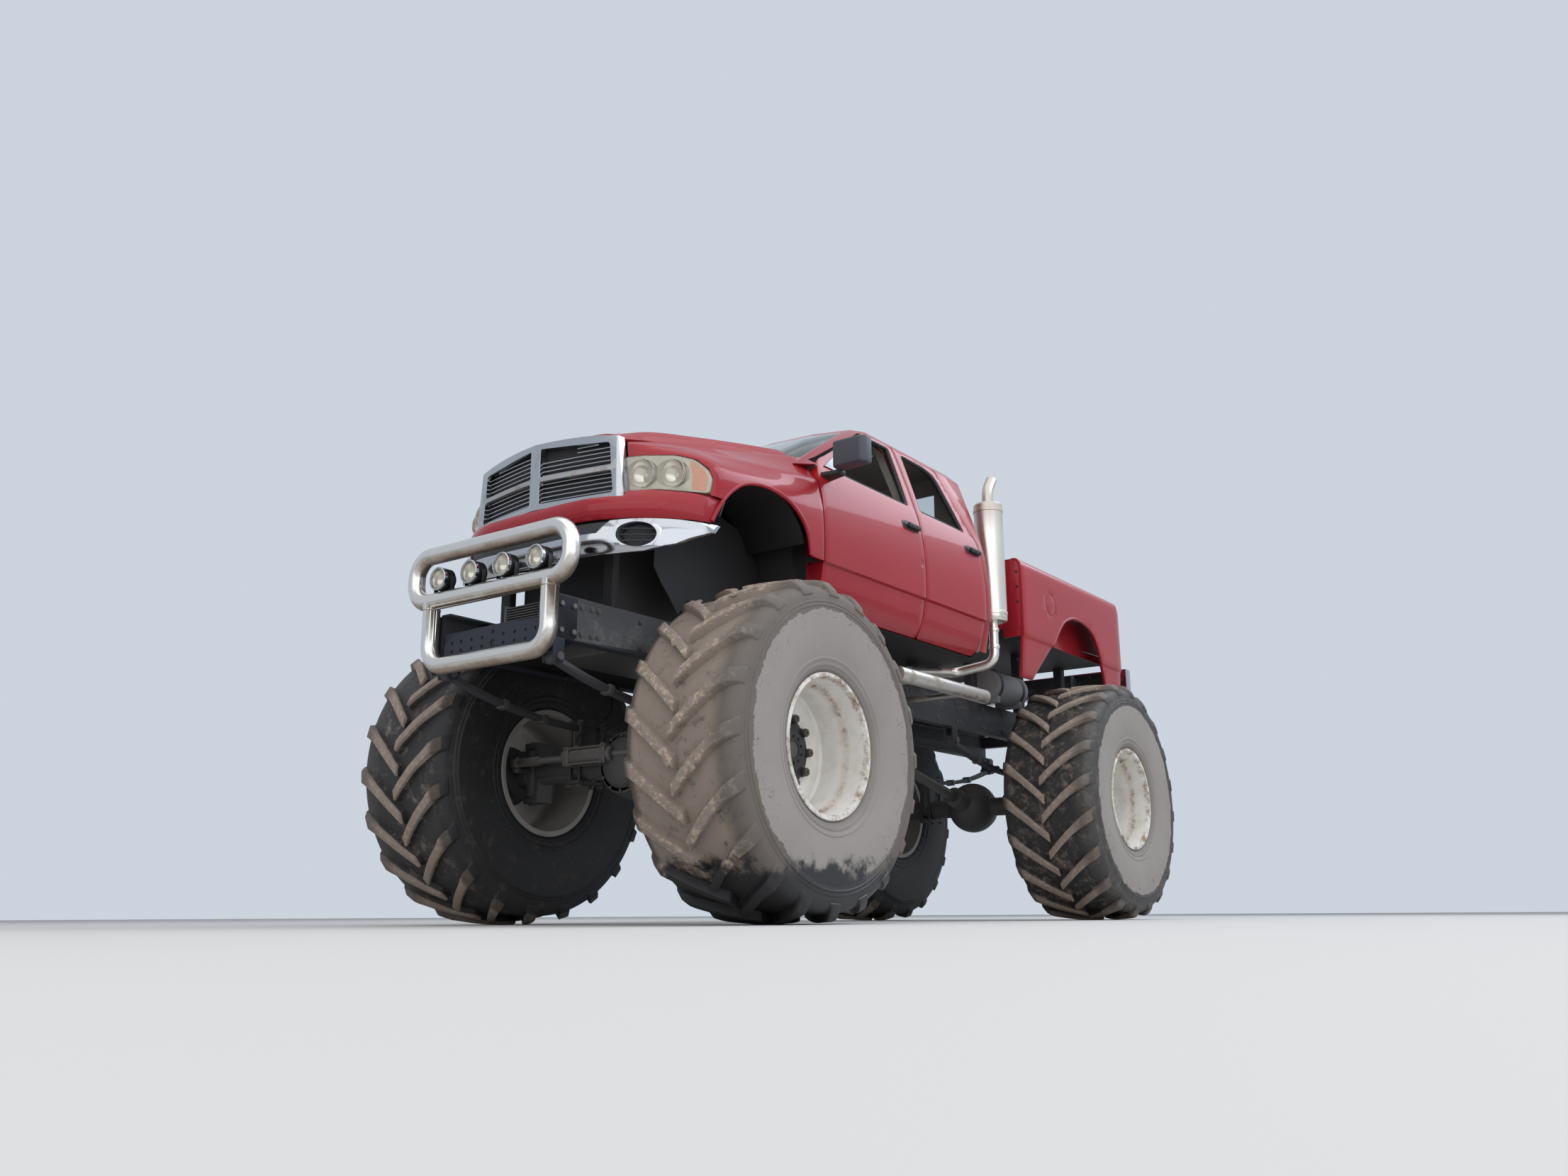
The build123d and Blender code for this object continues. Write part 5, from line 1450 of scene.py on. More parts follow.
def makeInside():
    parts = []
    for row in seats:
        for y in row["y"]:
            for kind, half in zip(("cushion", "backRest"), row["halves"]):
                parts.append(seatShape(row[kind], y - half, y + half, kind, row["bevel"]))
            if row["headRest"]:
                parts.append(block(at(2.660, y - 0.12, 1.175), at(2.590, y + 0.12, 1.248),
                                   "headRest", 0.025, 4))
    piece = joined(parts, "cabSeats")
    finish(piece, "chassis", "cloth", ("seats",), 50)
    dressed("dashboard", "dashPanel", "darkTrim", 0.022, 4, 35, 50)
    details = []
    for y in dash["ventY"]:
        for row in range(3):
            up = dash["ventUp"] + row * dash["ventPitch"]
            details.append(block(at(1.806, y - dash["ventHalf"], up),
                                 at(1.796, y + dash["ventHalf"], up + dash["ventHeight"]), "vent", 0.001))
    for y in dash["dialY"]:
        details.append(bar(at(1.775, y, 1.185), at(1.790, y, 1.176), dash["dialRadius"], "dial", 28, 0.003))
    finish(joined(details, "dashDetails"), "chassis", "plastic")
    dressed("steering_wheel", "steeringRim", "plastic", 0.002, 2, 50, 50)
    print("inside made")


makeCab()
makeMirrors()
makeInside()


# Bed

# The outline runs on from the arch; the walls go between opposite corners in back, y and up,
# with the width and the steps of their bevel
bed = {
    "outline": [(4.232, 0.385), (4.232, 1.334), (6.070, 1.334), (6.120, 1.327), (6.165, 1.308),
                (6.196, 1.275), (6.214, 1.225), (6.214, 0.800), (6.205, 0.700), (6.185, 0.610),
                (6.150, 0.552)],
    "arch": [(5.843, 0.528), (5.806, 0.620), (5.735, 0.725), (5.668, 0.850), (5.560, 0.955), (5.400, 1.006),
             (5.200, 1.010), (5.020, 0.955), (4.900, 0.860), (4.760, 0.706)],
    "front": [(4.570, 0.538), (4.430, 0.400), (4.412, 0.385)],
    "creases": (0.690, 0.700, 0.712, 1.26, 1.285, 1.30, 1.315, 1.326),
    "form": [(0.380, 0.949), (0.520, 0.962), (0.690, 0.974), (0.712, 0.9835), (0.80, 0.9850), (1.20, 0.9850),
             (1.245, 0.9835), (1.285, 0.9765), (1.310, 0.9640), (1.326, 0.9460), (1.3345, 0.9220)],
    "filler": {"back": 4.737, "up": 1.042, "radius": 0.088},
    "walls": {"rail": ((6.100, 0.806, 1.298), (4.236, 0.940, 1.3335), 0.006, 3),
              "frontFlange": ((4.252, 0.803, 0.706), (4.234, 0.962, 1.31), 0.003, 2),
              "rearFlange": ((6.200, 0.803, 0.706), (6.182, 0.950, 0.895), 0.003, 2),
              "rearFlangeTop": ((6.190, 0.803, 1.245), (6.172, 0.945, 1.285), 0.003, 2)},
    "plugUp": (0.52, 0.66, 0.98, 1.10, 1.22),
    "ribs": 13, "ribPitch": 0.11, "ribHalf": 0.022,
    "pressingY": (-0.52, -0.17, 0.17, 0.52),
}


def bedOuter(x, z):
    y = smoothLine(bed["form"], z - body["datumZ"])
    return y - 0.022 * easing(body["faceX"] - x, 6.150, 6.232)


def makeBedSides():
    b = bed
    arch = curved(b["arch"], 40)
    skin = panel(bodyPoints(b["outline"] + arch + b["front"]), bedOuter, lambda x, z: bedOuter(x, z) - 0.024,
                 "bedSkin", 0.07, extra=[bz(up) for up in b["creases"]])
    right = mirroredCopy(skin, "bedSkinRight")
    x, z, radius = bx(b["filler"]["back"]), bz(b["filler"]["up"]), b["filler"]["radius"]
    ring = lathe([(radius, -0.004), (radius + 0.005, -0.004), (radius + 0.005, 0.02), (radius, 0.02)],
                 48, "fillerGap")
    ring.data.transform(Matrix.Translation((x, bedOuter(x, z), z)))
    cut(skin, ring)
    for side, sign, panelPiece in (("left", 1, skin), ("right", -1, right)):
        bevel(panelPiece, 0.004, 2, 50)
        parts = [block(at(*low), at(*high), name, width, segments)
                 for name, (low, high, width, segments) in b["walls"].items()]
        lip = [(x, bedOuter(x, z) - 0.008, z) for x, z in bodyPoints(arch)]
        parts.append(tube(lip, 0.0125, "bedArchLip", 0.02, sides=2))
        if sign < 0:
            for part in parts:
                flipSide(part)
        piece = joined([panelPiece] + parts, "bedSide_" + side)
        finish(piece, "chassis", "paint", ("bed_sides",), 32)
        # Round plugs along the front lip
        plugs = []
        for up in b["plugUp"]:
            y = (bedOuter(bx(4.24), bz(up)) - 0.045) * sign
            plugs.append(bar(at(4.2335, y, up), at(4.2305, y, up), 0.011, "plug", 20, 0.001))
        finish(joined(plugs, "bedPlugs_" + side), "chassis", "rubber")


def tubPart(place, normal):
    # Dust lies on the floor, and the underside is dark
    if normal.z > 0.5 and place.z < 2.3:
        return 1
    return 2 if normal.z < -0.5 else 0


def bumperPart(place, normal):
    # Bright bar, dusty brackets
    return 0 if place.x < -3.2 and place.z > bz(0.552) else 1


def makeBed():
    tub = dressed("bed_tub", "bedTub", None, 0.004, 2, 40, 35)
    paintedBy(tub, ("paint", "dustPaint", "liner"), tubPart)
    ribs = []
    for row in range(bed["ribs"]):
        y, half = -0.66 + row * bed["ribPitch"], bed["ribHalf"]
        ribs.append(block(at(6.170, y - half, 0.8195), at(4.300, y + half, 0.827), "rib", 0.003))
    finish(joined(ribs, "bedFloorRibs"), "chassis", "dustPaint")
    cap = block(at(4.274, -0.796, 1.331), at(4.230, 0.796, 1.344), "bedFrontCap", 0.004)
    finish(cap, "chassis", "plastic")
    seams = [block(at(4.2325, y - 0.115, 0.88), at(4.2265, y + 0.115, 1.28), "pressing", 0.005)
             for y in bed["pressingY"]]
    finish(joined(seams, "bedFrontPressings"), "chassis", "paint")
    gate = refined("tailgate", "tailgateSkin", 0.010, 3)
    cut(gate, block(at(6.290, -0.66, 0.90), at(6.268, 0.66, 1.235), "field", 0.006))
    finish(gate, "tailgate", "paint", ("tailgate",))
    latch = block(at(6.2745, -0.105, 1.252), at(6.262, 0.105, 1.302), "latchPlate", 0.004)
    grip = block(at(6.2765, -0.075, 1.266), at(6.270, 0.075, 1.289), "latchGrip", 0.003)
    finish(joined([latch, grip], "tailgateHandle"), "tailgate", "plastic")
    dressed("tail_lamps", "tailLampLenses", "redLens", 0.006, 3)
    bumper = dressed("rear_bumper", "rearBumperBar", None, 0.014, 3)
    paintedBy(bumper, ("chrome", "frameRear"), bumperPart)
    print("bed made")


makeBedSides()
makeBed()


# Chassis

rail = {"low": 1.450, "high": 1.685, "outerY": 0.450, "frontX": 3.255,
        "boltX": (3.190, 3.130, 3.060, 2.985, 2.935, 2.60, 2.40, 1.95, 1.75, 1.15, 0.85, 0.59, 0.53, -0.27,
                  -0.33, -0.72, -1.02, -1.08, -1.45, -1.80, -2.30, -2.60, -3.05, -3.12)}
# The hangers hold x and the way their gusset points
spring = {"halfSpan": 1.090, "eyeZ": 1.350, "midZ": 1.170, "y": 0.4125, "halfWidth": 0.028,
          "hangers": ((3.220, -1), (1.040, 1), (-0.980, -1), (-3.160, 1)),
          "clips": (-0.62, -0.34, 0.34, 0.62)}
# Outline and holes in y and up, the holes with their radius
frontPlate = {
    "outline": [(0.0, 0.1385), (0.12, 0.1385), (0.22, 0.134), (0.30, 0.122), (0.36, 0.100), (0.395, 0.072),
                (0.398, -0.004), (0.0, -0.004)],
    "middle": [(0.0, 0.100, 0.013), (0.0, 0.040, 0.020)], "pairY": (0.085, 0.170, 0.255, 0.330),
    "pairUp": (0.030, 0.078), "pairRadius": 0.0105,
}
# The oil cooler behind the plate: x from the plate, y and up
cooler = {"slats": 6, "slatUp": 0.148, "slatPitch": 0.014, "slatHeight": 0.006, "slatX": (-0.055, -0.012),
          "slatY": (0.06, 0.345), "endX": (-0.060, -0.008), "endY": (0.055, 0.345), "endWidth": 0.016,
          "endUp": (0.115, 0.236)}


def makePlate():
    # The plate across the front ends: an arched top and drilled holes
    p, front0 = frontPlate, rail["frontX"]
    plate = prism(frontPoints(p["outline"]), 0, front0 + 0.0085, front0 + 0.0145, "drilledPlate")
    holes = p["middle"] + [(y, up, p["pairRadius"]) for y in p["pairY"] for up in p["pairUp"]]
    for y, up, radius in holes:
        for sign in ((1, -1) if y else (1,)):
            ends = [(front0 + reach, y * sign, bz(up)) for reach in (-0.02, 0.05)]
            cut(plate, bar(*ends, radius, "holeTool"))
    bevel(plate, 0.0012, 2, 50)
    finish(plate, "chassis", "frame")
    slats = []
    (rear, fore), (y0, y1) = cooler["slatX"], cooler["slatY"]
    for row in range(cooler["slats"]):
        up = cooler["slatUp"] + row * cooler["slatPitch"]
        slats.append(block((front0 + rear, y0, bz(up)), (front0 + fore, y1, bz(up + cooler["slatHeight"])),
                           "coolerSlat", 0.0015))
    (rear, fore), (low, high) = cooler["endX"], cooler["endUp"]
    for y in cooler["endY"]:
        slats.append(block((front0 + rear, y, bz(low)), (front0 + fore, y + cooler["endWidth"], bz(high)),
                           "coolerEnd", 0.002))
    finish(joined(slats, "oilCooler"), "chassis", "axle")


def makeFrame():
    piece = dressed("frame", "frameRails", None, 0.004, 2, 40, 35)
    paintedBy(piece, ("frame", "frameRear"), lambda place, normal: 0 if place.x > 0.9 else 1)
    makePlate()
    bolts = []
    y = rail["outerY"]
    for x in rail["boltX"]:
        for z in (rail["low"] + 0.045, rail["high"] - 0.045):
            for sign in (1, -1):
                bolts.append(boltHead((x, y * sign, z), (0, sign, 0), 0.0135, 0.009, "railBolt"))
                bolts.append(bar((x, (y - 0.001) * sign, z), (x, (y + 0.0028) * sign, z), 0.019,
                                 "railWasher"))
    finish(joined(bolts, "railBolts"), "chassis", "axle")
    # Gussets from the rails down to the spring hangers
    gussets = []
    for x, way in spring["hangers"]:
        outline = [(x + way * 0.046, rail["low"] - 0.002), (x + way * 0.150, rail["low"] - 0.002),
                   (x + way * 0.110, rail["low"] - 0.030), (x + way * 0.046, 1.345)]
        for sign in (1, -1):
            low, high = sorted((0.380 * sign, 0.388 * sign))
            gussets.append(prism(outline, 1, low, high, "gusset"))
    piece = joined(gussets, "hangerGussets")
    bevel(piece, 0.0015, 2, 50)
    finish(piece, "chassis", "frame")
    pins = []
    z = spring["eyeZ"]
    low, high = spring["y"] - 0.052, spring["y"] + 0.052
    shapes = ((low, high, 0.0150, 24, "pin"), (high, high + 0.012, 0.022, 6, "pinNut"),
              (low, low - 0.010, 0.022, 6, "pinHead"))
    for x, way in spring["hangers"]:
        for sign in (1, -1):
            for y0, y1, radius, corners, name in shapes:
                pins.append(bar((x, y0 * sign, z), (x, y1 * sign, z), radius, name, corners))
    finish(joined(pins, "springPins"), "chassis", "axle")
    print("frame made")


def springTop(x, axleX):
    share = (x - axleX) / spring["halfSpan"]
    return spring["midZ"] + (spring["eyeZ"] - spring["midZ"]) * share ** 2


def makeSprings():
    s = spring
    low, high = s["y"] - s["halfWidth"], s["y"] + s["halfWidth"]
    for place, axleX in wheel["x"].items():
        dressed("springs_" + place, "leafSprings_" + place, "spring", 0.003, 2, 40, 35)
        extras = []
        for sign in (1, -1):
            for share in s["clips"]:
                x = axleX + share * s["halfSpan"]
                z = springTop(x, axleX)
                slope = 2 * share * (s["eyeZ"] - s["midZ"]) / s["halfSpan"]
                band = block((x - 0.020, (low - 0.005) * sign, z - 0.032),
                             (x + 0.020, (high + 0.005) * sign, z + 0.020), "clip", 0.003)
                band.data.transform(Matrix.Translation((x, 0, z)) @ Matrix.Rotation(-math.atan(slope), 4, "Y")
                                    @ Matrix.Translation((-x, 0, -z)))
                extras.append(band)
            for x in (axleX - 0.089, axleX + 0.089):
                for y in (low - 0.011, high + 0.011):
                    for z0, z1, radius, name in ((0.818, 0.806, 0.019, "uNut"),
                                                 (s["midZ"] + 0.026, s["midZ"] + 0.040, 0.017, "uHead")):
                        extras.append(bar((x, y * sign, z0), (x, y * sign, z1), radius, name, 6))
        finish(joined(extras, "springClips_" + place), "chassis", "axle")
    print("springs made")


def axlePart(place, normal):
    # The pads under the springs are bare castings
    return 1 if 0.37 < abs(place.y) < 0.46 and place.z > 1.0 else 0


# The differentials' covers: how far each face stands from its axle, and the dome's profile
cover = {"out": 0.118, "rim": 0.012, "radius": 0.176, "domeOut": 0.040, "bolts": 12, "boltCircle": 0.162,
         "dome": [(0.002, 0.0), (0.060, 0.0), (0.120, -0.012), (0.145, -0.030), (0.150, -0.042),
                  (0.002, -0.042)]}


def makeAxles():
    c, z = cover, wheel["z"]
    for end, way in (("front", 1), ("rear", -1)):
        piece = dressed(end + "_axle", end + "AxleCasting", None, 0.006)
        paintedBy(piece, ("axle", "casting"), axlePart)
        faceX = wheel["x"][end] + way * c["out"]
        rim = bar((faceX - way * c["rim"], 0, z), (faceX, 0, z), c["radius"], "coverRim", 48, 0.003)
        dome = lathe(c["dome"], 40, "coverDome")
        parts = [rim, turned(dome, -way * math.pi / 2, "Z", (faceX + way * c["domeOut"], 0, z))]
        for count in range(c["bolts"]):
            angle = 2 * math.pi * count / c["bolts"]
            place = (faceX, c["boltCircle"] * math.cos(angle), z + c["boltCircle"] * math.sin(angle))
            parts.append(boltHead(place, (way, 0, 0), 0.0105, 0.009, "coverBolt"))
        finish(joined(parts, end + "DiffCover"), "chassis", "axle")
    for side, sign in bothSides:
        knuckle = "knuckle_" + side
        dressed(knuckle, "knuckleCasting_" + side, "axle", 0.005, bodyName=knuckle)
        caps = []
        x, y = wheel["x"]["front"], 0.860 * sign
        for way in (1, -1):
            z = wheel["z"] + way * 0.192
            caps.append(bar((x, y, z), (x, y, z + way * 0.006), 0.027, "pinCap", 24, 0.001))
        caps.append(bar((2.280, y, 0.9995), (2.280, y, 1.010), 0.017, "castleNut", 6))
        finish(joined(caps, "knuckleCaps_" + side), knuckle, "casting")
    print("axles made")


# The ram's middle, and how far its clamps and its ports stand from there
ram = {"x": 2.280, "y": -0.235, "z": 0.975, "clampOut": 0.150, "portOut": 0.110,
       "bolts": ((0.040, -0.046), (0.040, 0.048), (-0.044, 0.048), (-0.044, -0.046))}


def makeSteering():
    dressed("steering_cylinder", "ramBarrel", "steering", 0.004)
    x, z = ram["x"], ram["z"]
    clampY = (ram["y"] - ram["clampOut"], ram["y"] + ram["clampOut"])
    portY = (ram["y"] - ram["portOut"], ram["y"] + ram["portOut"])
    parts = []
    for y in clampY:
        parts.append(block((x - 0.056, y - 0.022, z - 0.056), (x + 0.050, y + 0.022, z + 0.058),
                           "barrelBlock", 0.004))
        for dz in (-0.046, 0.048):
            parts.append(boltHead((x + 0.050, y, z + dz), (1, 0, 0), 0.009, 0.008, "blockBolt"))
    for dx, dz in ram["bolts"]:
        parts.append(bar((x + dx, clampY[0], z + dz), (x + dx, clampY[1], z + dz), 0.006, "tieBolt", 12))
    for y in portY:
        parts.append(bar((x, y, z + 0.040), (x, y, z + 0.072), 0.012, "port", 6))
    finish(joined(parts, "ramBlocks"), "chassis", "steering")
    hoses = []
    for y, lift in zip(portY, (0.0, 0.02)):
        hoses.append(tube([(x, y, z + 0.070), (x - 0.01, y, z + 0.13 + lift), (x - 0.20, y + 0.10, z + 0.26),
                           (x - 0.30, -0.36 + lift, 1.46)], 0.0085, "ramHose", 0.10))
    finish(joined(hoses, "ramHoses"), "chassis", "rubber")
    rod = dressed("steering_rod", "tieRod", None, 0.004, bodyName="steering_rod")
    paintedBy(rod, ("casting", "steering"), lambda place, normal: 0 if abs(place.y) < 0.645 else 1)
    ends = []
    for sign in (1, -1):
        ends.append(bar((x, 0.655 * sign, z), (x, 0.685 * sign, z), 0.030, "lockNut", 6))
        ends.append(bar((x, 0.860 * sign, z - 0.030), (x, 0.860 * sign, z - 0.027), 0.035, "eyeRing", 28))
    finish(joined(ends, "tieRodNuts"), "steering_rod", "casting")
    print("steering made")


# Each node's piece, look, slot and the width of its bevel
castings = {
    "engine": ("enginePiece", "axle", "bare_metal", 0.012),
    "gearbox": ("gearboxPiece", "casting", "bare_metal", 0.010),
    "drive_shafts": ("driveShaftsPiece", "axle", "bare_metal", 0.003),
    "radiator": ("radiatorPiece", "liner", "black_plastic", 0.004),
    "core_support": ("coreSupportPiece", "liner", "frame_paint", 0.004),
    "body_mounts": ("bodyMountsPiece", "frameRear", "frame_paint", 0.004),
    "fuel_tank": ("fuelTankPiece", "dustPaint", "bare_metal", 0.012),
    "side_steps": ("sideStepsPiece", "sideTube", "polished_steel", 0.003),
    "arch_liners": ("archLinersPiece", "liner", "black_plastic", 0.002),
}
# The tank's straps and cap, the shafts' flanges, and the pipes' height and radius with their run
driveline = {
    "tankY": 0.510, "tankZ": 1.830, "strapX": (-1.46, -1.84), "strap": (0.1255, 0.1285, 0.020),
    "capX": -1.56, "capZ": (1.950, 1.972), "capRadius": 0.036,
    "flanges": ((0.99, -0.205, 1.49), (0.66, 0.0, 1.51)), "flangeRadius": 0.072,
    "pipes": ((1.60, 0.007), (1.575, 0.005), (1.635, 0.011)), "pipeY": 0.366, "pipeStep": 0.002,
    "pipeRun": ((2.75, 0.0), (1.2, 0.01), (0.3, -0.015), (-1.6, 0.0), (-2.9, 0.01)),
}
# The skirts' upper and lower edge in back and up
skirt = {
    "top": [(0.50, 0.70), (0.56, 0.84), (0.66, 0.93), (0.95, 1.00), (1.25, 0.93), (1.46, 0.74)],
    "low": [(1.46, 0.46), (1.34, 0.43), (1.22, 0.45), (1.10, 0.37), (1.01, 0.41), (0.90, 0.33), (0.80, 0.38),
            (0.70, 0.30), (0.62, 0.36), (0.55, 0.45), (0.50, 0.55)],
}


def makeDriveline():
    for node, (name, look, slotName, width) in castings.items():
        dressed(node, name, look, width, 2, 40, 38)
    d = driveline
    inner, outer, half = d["strap"]
    straps = []
    for x in d["strapX"]:
        ring = lathe([(inner, -half), (outer, -half), (outer, half), (inner, half)], 48, "tankStrap")
        straps.append(turned(ring, math.pi / 2, "Z", (x, d["tankY"], d["tankZ"])))
    ends = [(d["capX"], d["tankY"], z) for z in d["capZ"]]
    straps.append(bar(*ends, d["capRadius"], "tankCap", 28, 0.004))
    finish(joined(straps, "tankStraps"), "chassis", "frameRear")
    joints = []
    for x, y, z in d["flanges"]:
        joints.append(bar((x - 0.012, y, z - 0.004), (x + 0.012, y, z + 0.004), d["flangeRadius"],
                          "flange", 32, 0.003))
    finish(joined(joints, "shaftFlanges"), "chassis", "axle")
    # Thin pipes and a loom run along the inner side of the rails
    pipes = []
    for row, (z, radius) in enumerate(d["pipes"]):
        for sign in (1, -1):
            y = (d["pipeY"] - row * d["pipeStep"]) * sign
            pipes.append(tube([(x, y, z + lift) for x, lift in d["pipeRun"]], radius, "railPipe", 0.2))
    finish(joined(pipes, "railPipes"), "chassis", "rubber")
    # Dark skirts hang behind the bumper and inside the arches, with a torn lower edge
    skirts = []
    random.seed(11)
    for sign in (1, -1):
        torn = [(back + random.uniform(-0.012, 0.012), up + random.uniform(-0.015, 0.015))
                for back, up in skirt["low"]]
        low, high = sorted((0.505 * sign, 0.511 * sign))
        skirts.append(prism(bodyPoints(skirt["top"] + torn), 1, low, high, "skirt"))
    finish(joined(skirts, "innerSkirts"), "chassis", "liner")
    print("driveline made")


makeFrame()
makeSprings()
makeAxles()
makeSteering()
makeDriveline()


# Bull bar, spot lamps and exhaust

stack = {"x": -0.890, "y": 0.862, "radius": 0.115, "low": 0.770, "high": 1.715, "tip": 1.935, "pipe": 0.038,
         "tipRadius": 0.043, "tipBack": 0.080}
spot = {"x": 3.312, "y": (-0.385, -0.128, 0.128, 0.385), "up": 0.438, "radius": 0.066}


def barPart(place, normal):
    # The ends of the arms, which face the rails, are painted like them
    return 1 if abs(normal.y) > 0.9 and place.x < 3.262 else 0


def makeBullBar():
    piece = dressed("bull_bar", "bullBarTubes", None, 0.0, 2, 40, 50)
    paintedBy(piece, ("steel", "frame"), barPart)
    nuts = []
    for sign in (1, -1):
        for x in (3.13, 3.22):
            for up in (0.06, 0.20):
                nuts.append(boltHead((x, 0.4635 * sign, bz(up)), (0, sign, 0), 0.015, 0.011, "armBolt"))
    finish(joined(nuts, "bullBarBolts"), "chassis", "casting")
    # Welds where the legs meet the loop
    welds = []
    for sign in (1, -1):
        ring = lathe([(0.0475, -0.005), (0.0515, 0.0), (0.0475, 0.005), (0.046, 0.0)], 40, "weld")
        welds.append(turned(ring, math.pi / 2, "X", (3.312, 0.469 * sign, bz(0.322) - 0.0485)))
    finish(joined(welds, "bullBarWelds"), "chassis", "steel")


def makeSpotLamps():
    s = spot
    x, r = s["x"], s["radius"]
    shell = [(0.001, 0.0), (0.030, 0.0), (0.050, 0.010), (r - 0.006, 0.032), (r - 0.003, 0.060),
             (r - 0.003, 0.088), (r - 0.010, 0.088), (r - 0.012, 0.060), (0.050, 0.040), (0.001, 0.030)]
    bezel = [(r - 0.008, 0.084), (r, 0.084), (r, 0.102), (r - 0.003, 0.1045), (r - 0.009, 0.1045),
             (r - 0.011, 0.098)]
    glass = [(0.001, 0.0985), (0.030, 0.0975), (r - 0.010, 0.0935), (r - 0.010, 0.0905), (0.030, 0.0945),
             (0.001, 0.0955)]
    bowl = [(0.001, 0.044), (0.022, 0.046), (0.040, 0.058), (r - 0.014, 0.082), (r - 0.0105, 0.088),
            (r - 0.0125, 0.088), (r - 0.018, 0.080), (0.040, 0.054), (0.020, 0.042), (0.001, 0.040)]
    fins = [[(r - 0.012, fin), (r - 0.001, fin + 0.001), (r - 0.001, fin + 0.003), (r - 0.012, fin + 0.004)]
            for fin in (0.026, 0.036, 0.046, 0.056, 0.066)]
    bodies, rings, lenses, bowls = [], [], [], []
    for y in s["y"]:
        place = (x - 0.060, y, bz(s["up"]))
        shapes = [(bodies, shell)] + [(bodies, fin) for fin in fins]
        shapes += [(rings, bezel), (lenses, glass), (bowls, bowl)]
        for group, profile in shapes:
            group.append(turnedForward(lathe(profile, 40, "lampPart"), place))
        bodies.append(bar((x - 0.010, y, bz(0.371)), (x - 0.010, y, bz(0.385)), 0.012, "lampFoot", 20))
        for sign in (1, -1):
            armY = y + sign * 0.0685
            bodies.append(block((x - 0.024, armY - 0.002, bz(0.372)), (x + 0.004, armY + 0.002, bz(0.450)),
                                "lampYoke", 0.001))
        bodies.append(block((x - 0.024, y - 0.070, bz(0.3702)), (x + 0.004, y + 0.070, bz(0.3745)),
                            "lampBase", 0.001))
    finish(joined(bodies, "spotBodies"), "chassis", "spotBody", ("spot_lamps",))
    finish(joined(rings, "spotBezels"), "chassis", "chrome")
    finish(joined(lenses, "spotLenses"), "chassis", "lens")
    finish(joined(bowls, "spotBowls"), "chassis", "reflector")
    print("front lamps made")


def makeExhaust():
    s = stack
    x, r, low, high = s["x"], s["radius"], bz(s["low"]), bz(s["high"])
    # A band near each end of the can stands out; the head's places count down from the top
    foot = [(0.060, 0.0), (r - 0.012, 0.004), (r - 0.004, 0.016), (r - 0.004, 0.050), (r, 0.054),
            (r, 0.074), (r - 0.004, 0.078)]
    head = [(r - 0.004, 0.078), (r, 0.074), (r, 0.054), (r - 0.004, 0.050), (r - 0.004, 0.018),
            (r - 0.016, 0.004), (0.056, 0.0), (0.001, 0.0)]
    profile = [(0.001, 0.0)] + foot + [(radius, high - low - down) for radius, down in head]
    parts = []
    for sign in (1, -1):
        y = s["y"] * sign
        parts.append(turned(lathe(profile, 56, "stackCan"), math.pi / 2, "X", (x, y, low)))
        bend, end = Vector((x, y, high + 0.105)), Vector((x - s["tipBack"], y, bz(s["tip"]) - 0.004))
        tip = tube([(x, y, high - 0.01), bend, end], s["tipRadius"], "stackTip", 0.105, sides=14)
        way = (end - bend).normalized()
        cut(tip, bar(end - way * 0.10, end + way * 0.05, s["tipRadius"] - 0.004, "tipBore", 32))
        parts.append(tip)
        parts.append(bar((x, y, high - 0.002), (x, y, high + 0.010), s["tipRadius"] + 0.006,
                         "tipCollar", 40, 0.003))
        points = [(x, y, low + 0.02), (x, y, bz(0.460)), (x + 0.090, 0.560 * sign, bz(0.400)),
                  (x + 0.700, 0.520 * sign, bz(0.330))]
        parts.append(tube(points, s["pipe"], "stackPipe", 0.085, sides=14))
        for z in (low - 0.060, low - 0.190):
            parts.append(bar((x, y, z - 0.014), (x, y, z + 0.014), s["pipe"] + 0.006, "pipeClamp", 36, 0.003))
        parts.append(block((x + 0.532, 0.402 * sign, 1.6855), (x + 0.568, 0.533 * sign, bz(0.352)),
                           "strap", 0.003))
    finish(joined(parts, "exhaustStacks"), "chassis", "stack", ("exhaust",), 40)
    print("exhaust made")


makeBullBar()
makeSpotLamps()
makeExhaust()


# Camera, floor and light

camera = {"place": (7.840, 5.272), "height": 0.05, "aimDistance": 7.4, "lens": 29.80, "sensor": 36.0,
          "forward": (-0.77312, -0.56491, 0.28837), "right": (-0.59122, 0.80649, -0.00516),
          "fittedHeight": -0.299}


def makeCamera():
    forward, right = Vector(camera["forward"]), Vector(camera["right"])
    fitted = Vector((*camera["place"], camera["fittedHeight"]))
    target = fitted + forward * camera["aimDistance"]
    eye = Vector((*camera["place"], camera["height"]))
    ahead = (target - eye).normalized()
    upward = right.cross(ahead).normalized()
    across = ahead.cross(upward)
    data = bpy.data.cameras.new("photoCamera")
    data.lens, data.sensor_width, data.clip_start = camera["lens"], camera["sensor"], 0.05
    obj = bpy.data.objects.new("photoCamera", data)
    bpy.context.scene.collection.objects.link(obj)
    turn = Matrix((across, upward, -ahead)).transposed()
    obj.matrix_world = Matrix.Translation(eye) @ turn.to_4x4()
    bpy.context.scene.camera = obj


def softLamp(name, place, target, width, height, power, colour):
    data = bpy.data.lights.new(name, "AREA")
    data.shape = "RECTANGLE"
    data.size, data.size_y, data.energy, data.color = width, height, power, colour
    obj = bpy.data.objects.new(name, data)
    bpy.context.scene.collection.objects.link(obj)
    way = Vector(target) - Vector(place)
    obj.matrix_world = Matrix.Translation(place) @ way.to_track_quat("-Z", "Y").to_matrix().to_4x4()


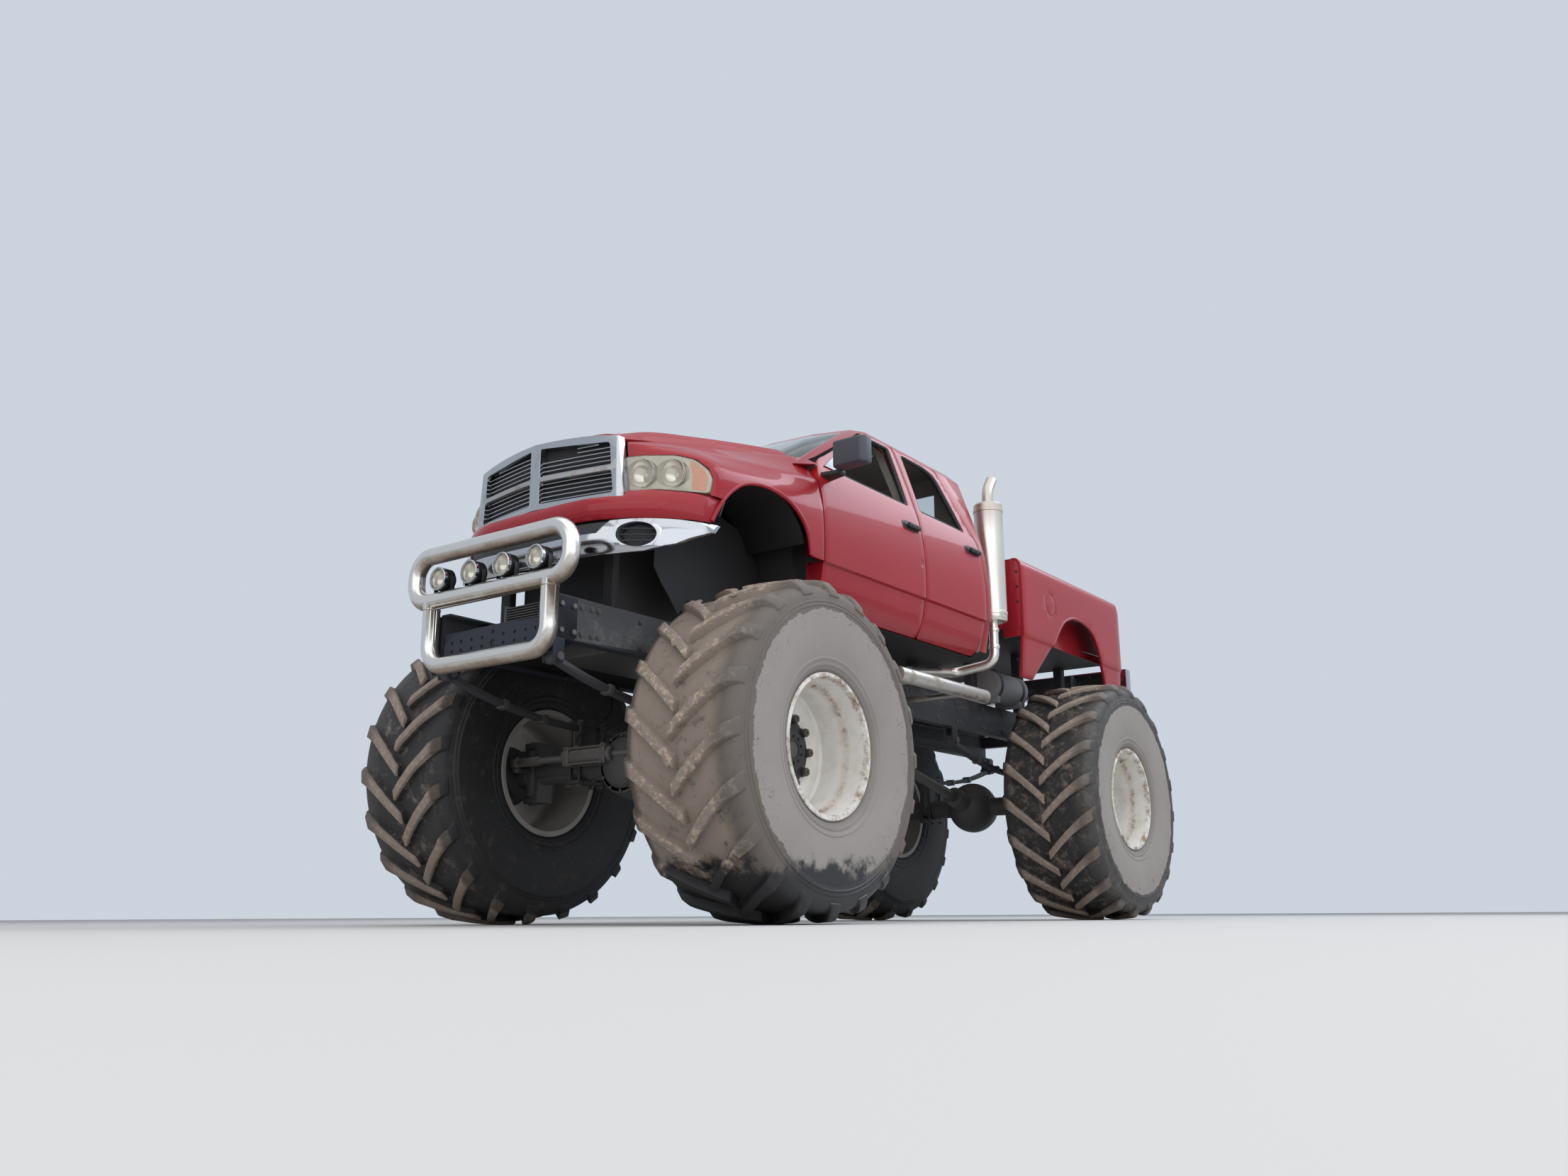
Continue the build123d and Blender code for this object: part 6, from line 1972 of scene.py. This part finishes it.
stage = {"floorColour": (0.62, 0.61, 0.60), "backdrop": (0.60, 0.655, 0.73), "skyColour": (0.80, 0.84, 0.90),
         "skyStrength": 0.52}

# Name, place, aim, width, height, power, colour
lamps = [
    ("skyLamp", (3, 4, 14), (0, 0, 1.5), 20, 20, 1120, (1.0, 0.99, 0.97)),
    ("highSideLamp", (-6.8, 7.0, 10.4), (0.4, 0.8, 2.4), 16, 6, 880, (0.80, 0.89, 1.0)),
    ("sideLamp", (7, 13, 5), (0.4, 0.5, 1.8), 14, 9, 400, (0.97, 0.98, 1.0)),
    ("frontLamp", (14, 3, 6), (1.5, 0, 2.0), 13, 9, 340, (1.0, 0.98, 0.95)),
]


def makeStage():
    bpy.ops.mesh.primitive_circle_add(vertices=96, radius=60, fill_type="NGON")
    floor = newest("floor")
    settle(floor)
    floor.data.materials.append(Graph("paleFloor").surface(stage["floorColour"], 0.9))
    world = bpy.data.worlds.new("paleWorld")
    bpy.context.scene.world = world
    world.use_nodes = True
    nodes, links = world.node_tree.nodes, world.node_tree.links
    lighting = nodes["Background"]
    lighting.inputs["Color"].default_value = (*stage["skyColour"], 1)
    lighting.inputs["Strength"].default_value = stage["skyStrength"]
    shown = nodes.new("ShaderNodeBackground")
    shown.inputs["Color"].default_value = (*stage["backdrop"], 1)
    rays = nodes.new("ShaderNodeLightPath")
    seen = rays.outputs["Is Camera Ray"]
    for kind in ("Is Glossy Ray", "Is Transmission Ray"):
        either = nodes.new("ShaderNodeMath")
        either.operation = "MAXIMUM"
        links.new(seen, either.inputs[0])
        links.new(rays.outputs[kind], either.inputs[1])
        seen = either.outputs[0]
    mix = nodes.new("ShaderNodeMixShader")
    links.new(seen, mix.inputs["Fac"])
    links.new(lighting.outputs[0], mix.inputs[1])
    links.new(shown.outputs[0], mix.inputs[2])
    links.new(mix.outputs[0], nodes["World Output"].inputs["Surface"])
    for lamp in lamps:
        softLamp(*lamp)


makeCamera()
makeStage()
scene = bpy.context.scene
scene.view_settings.view_transform = "Standard"
print("stage made")
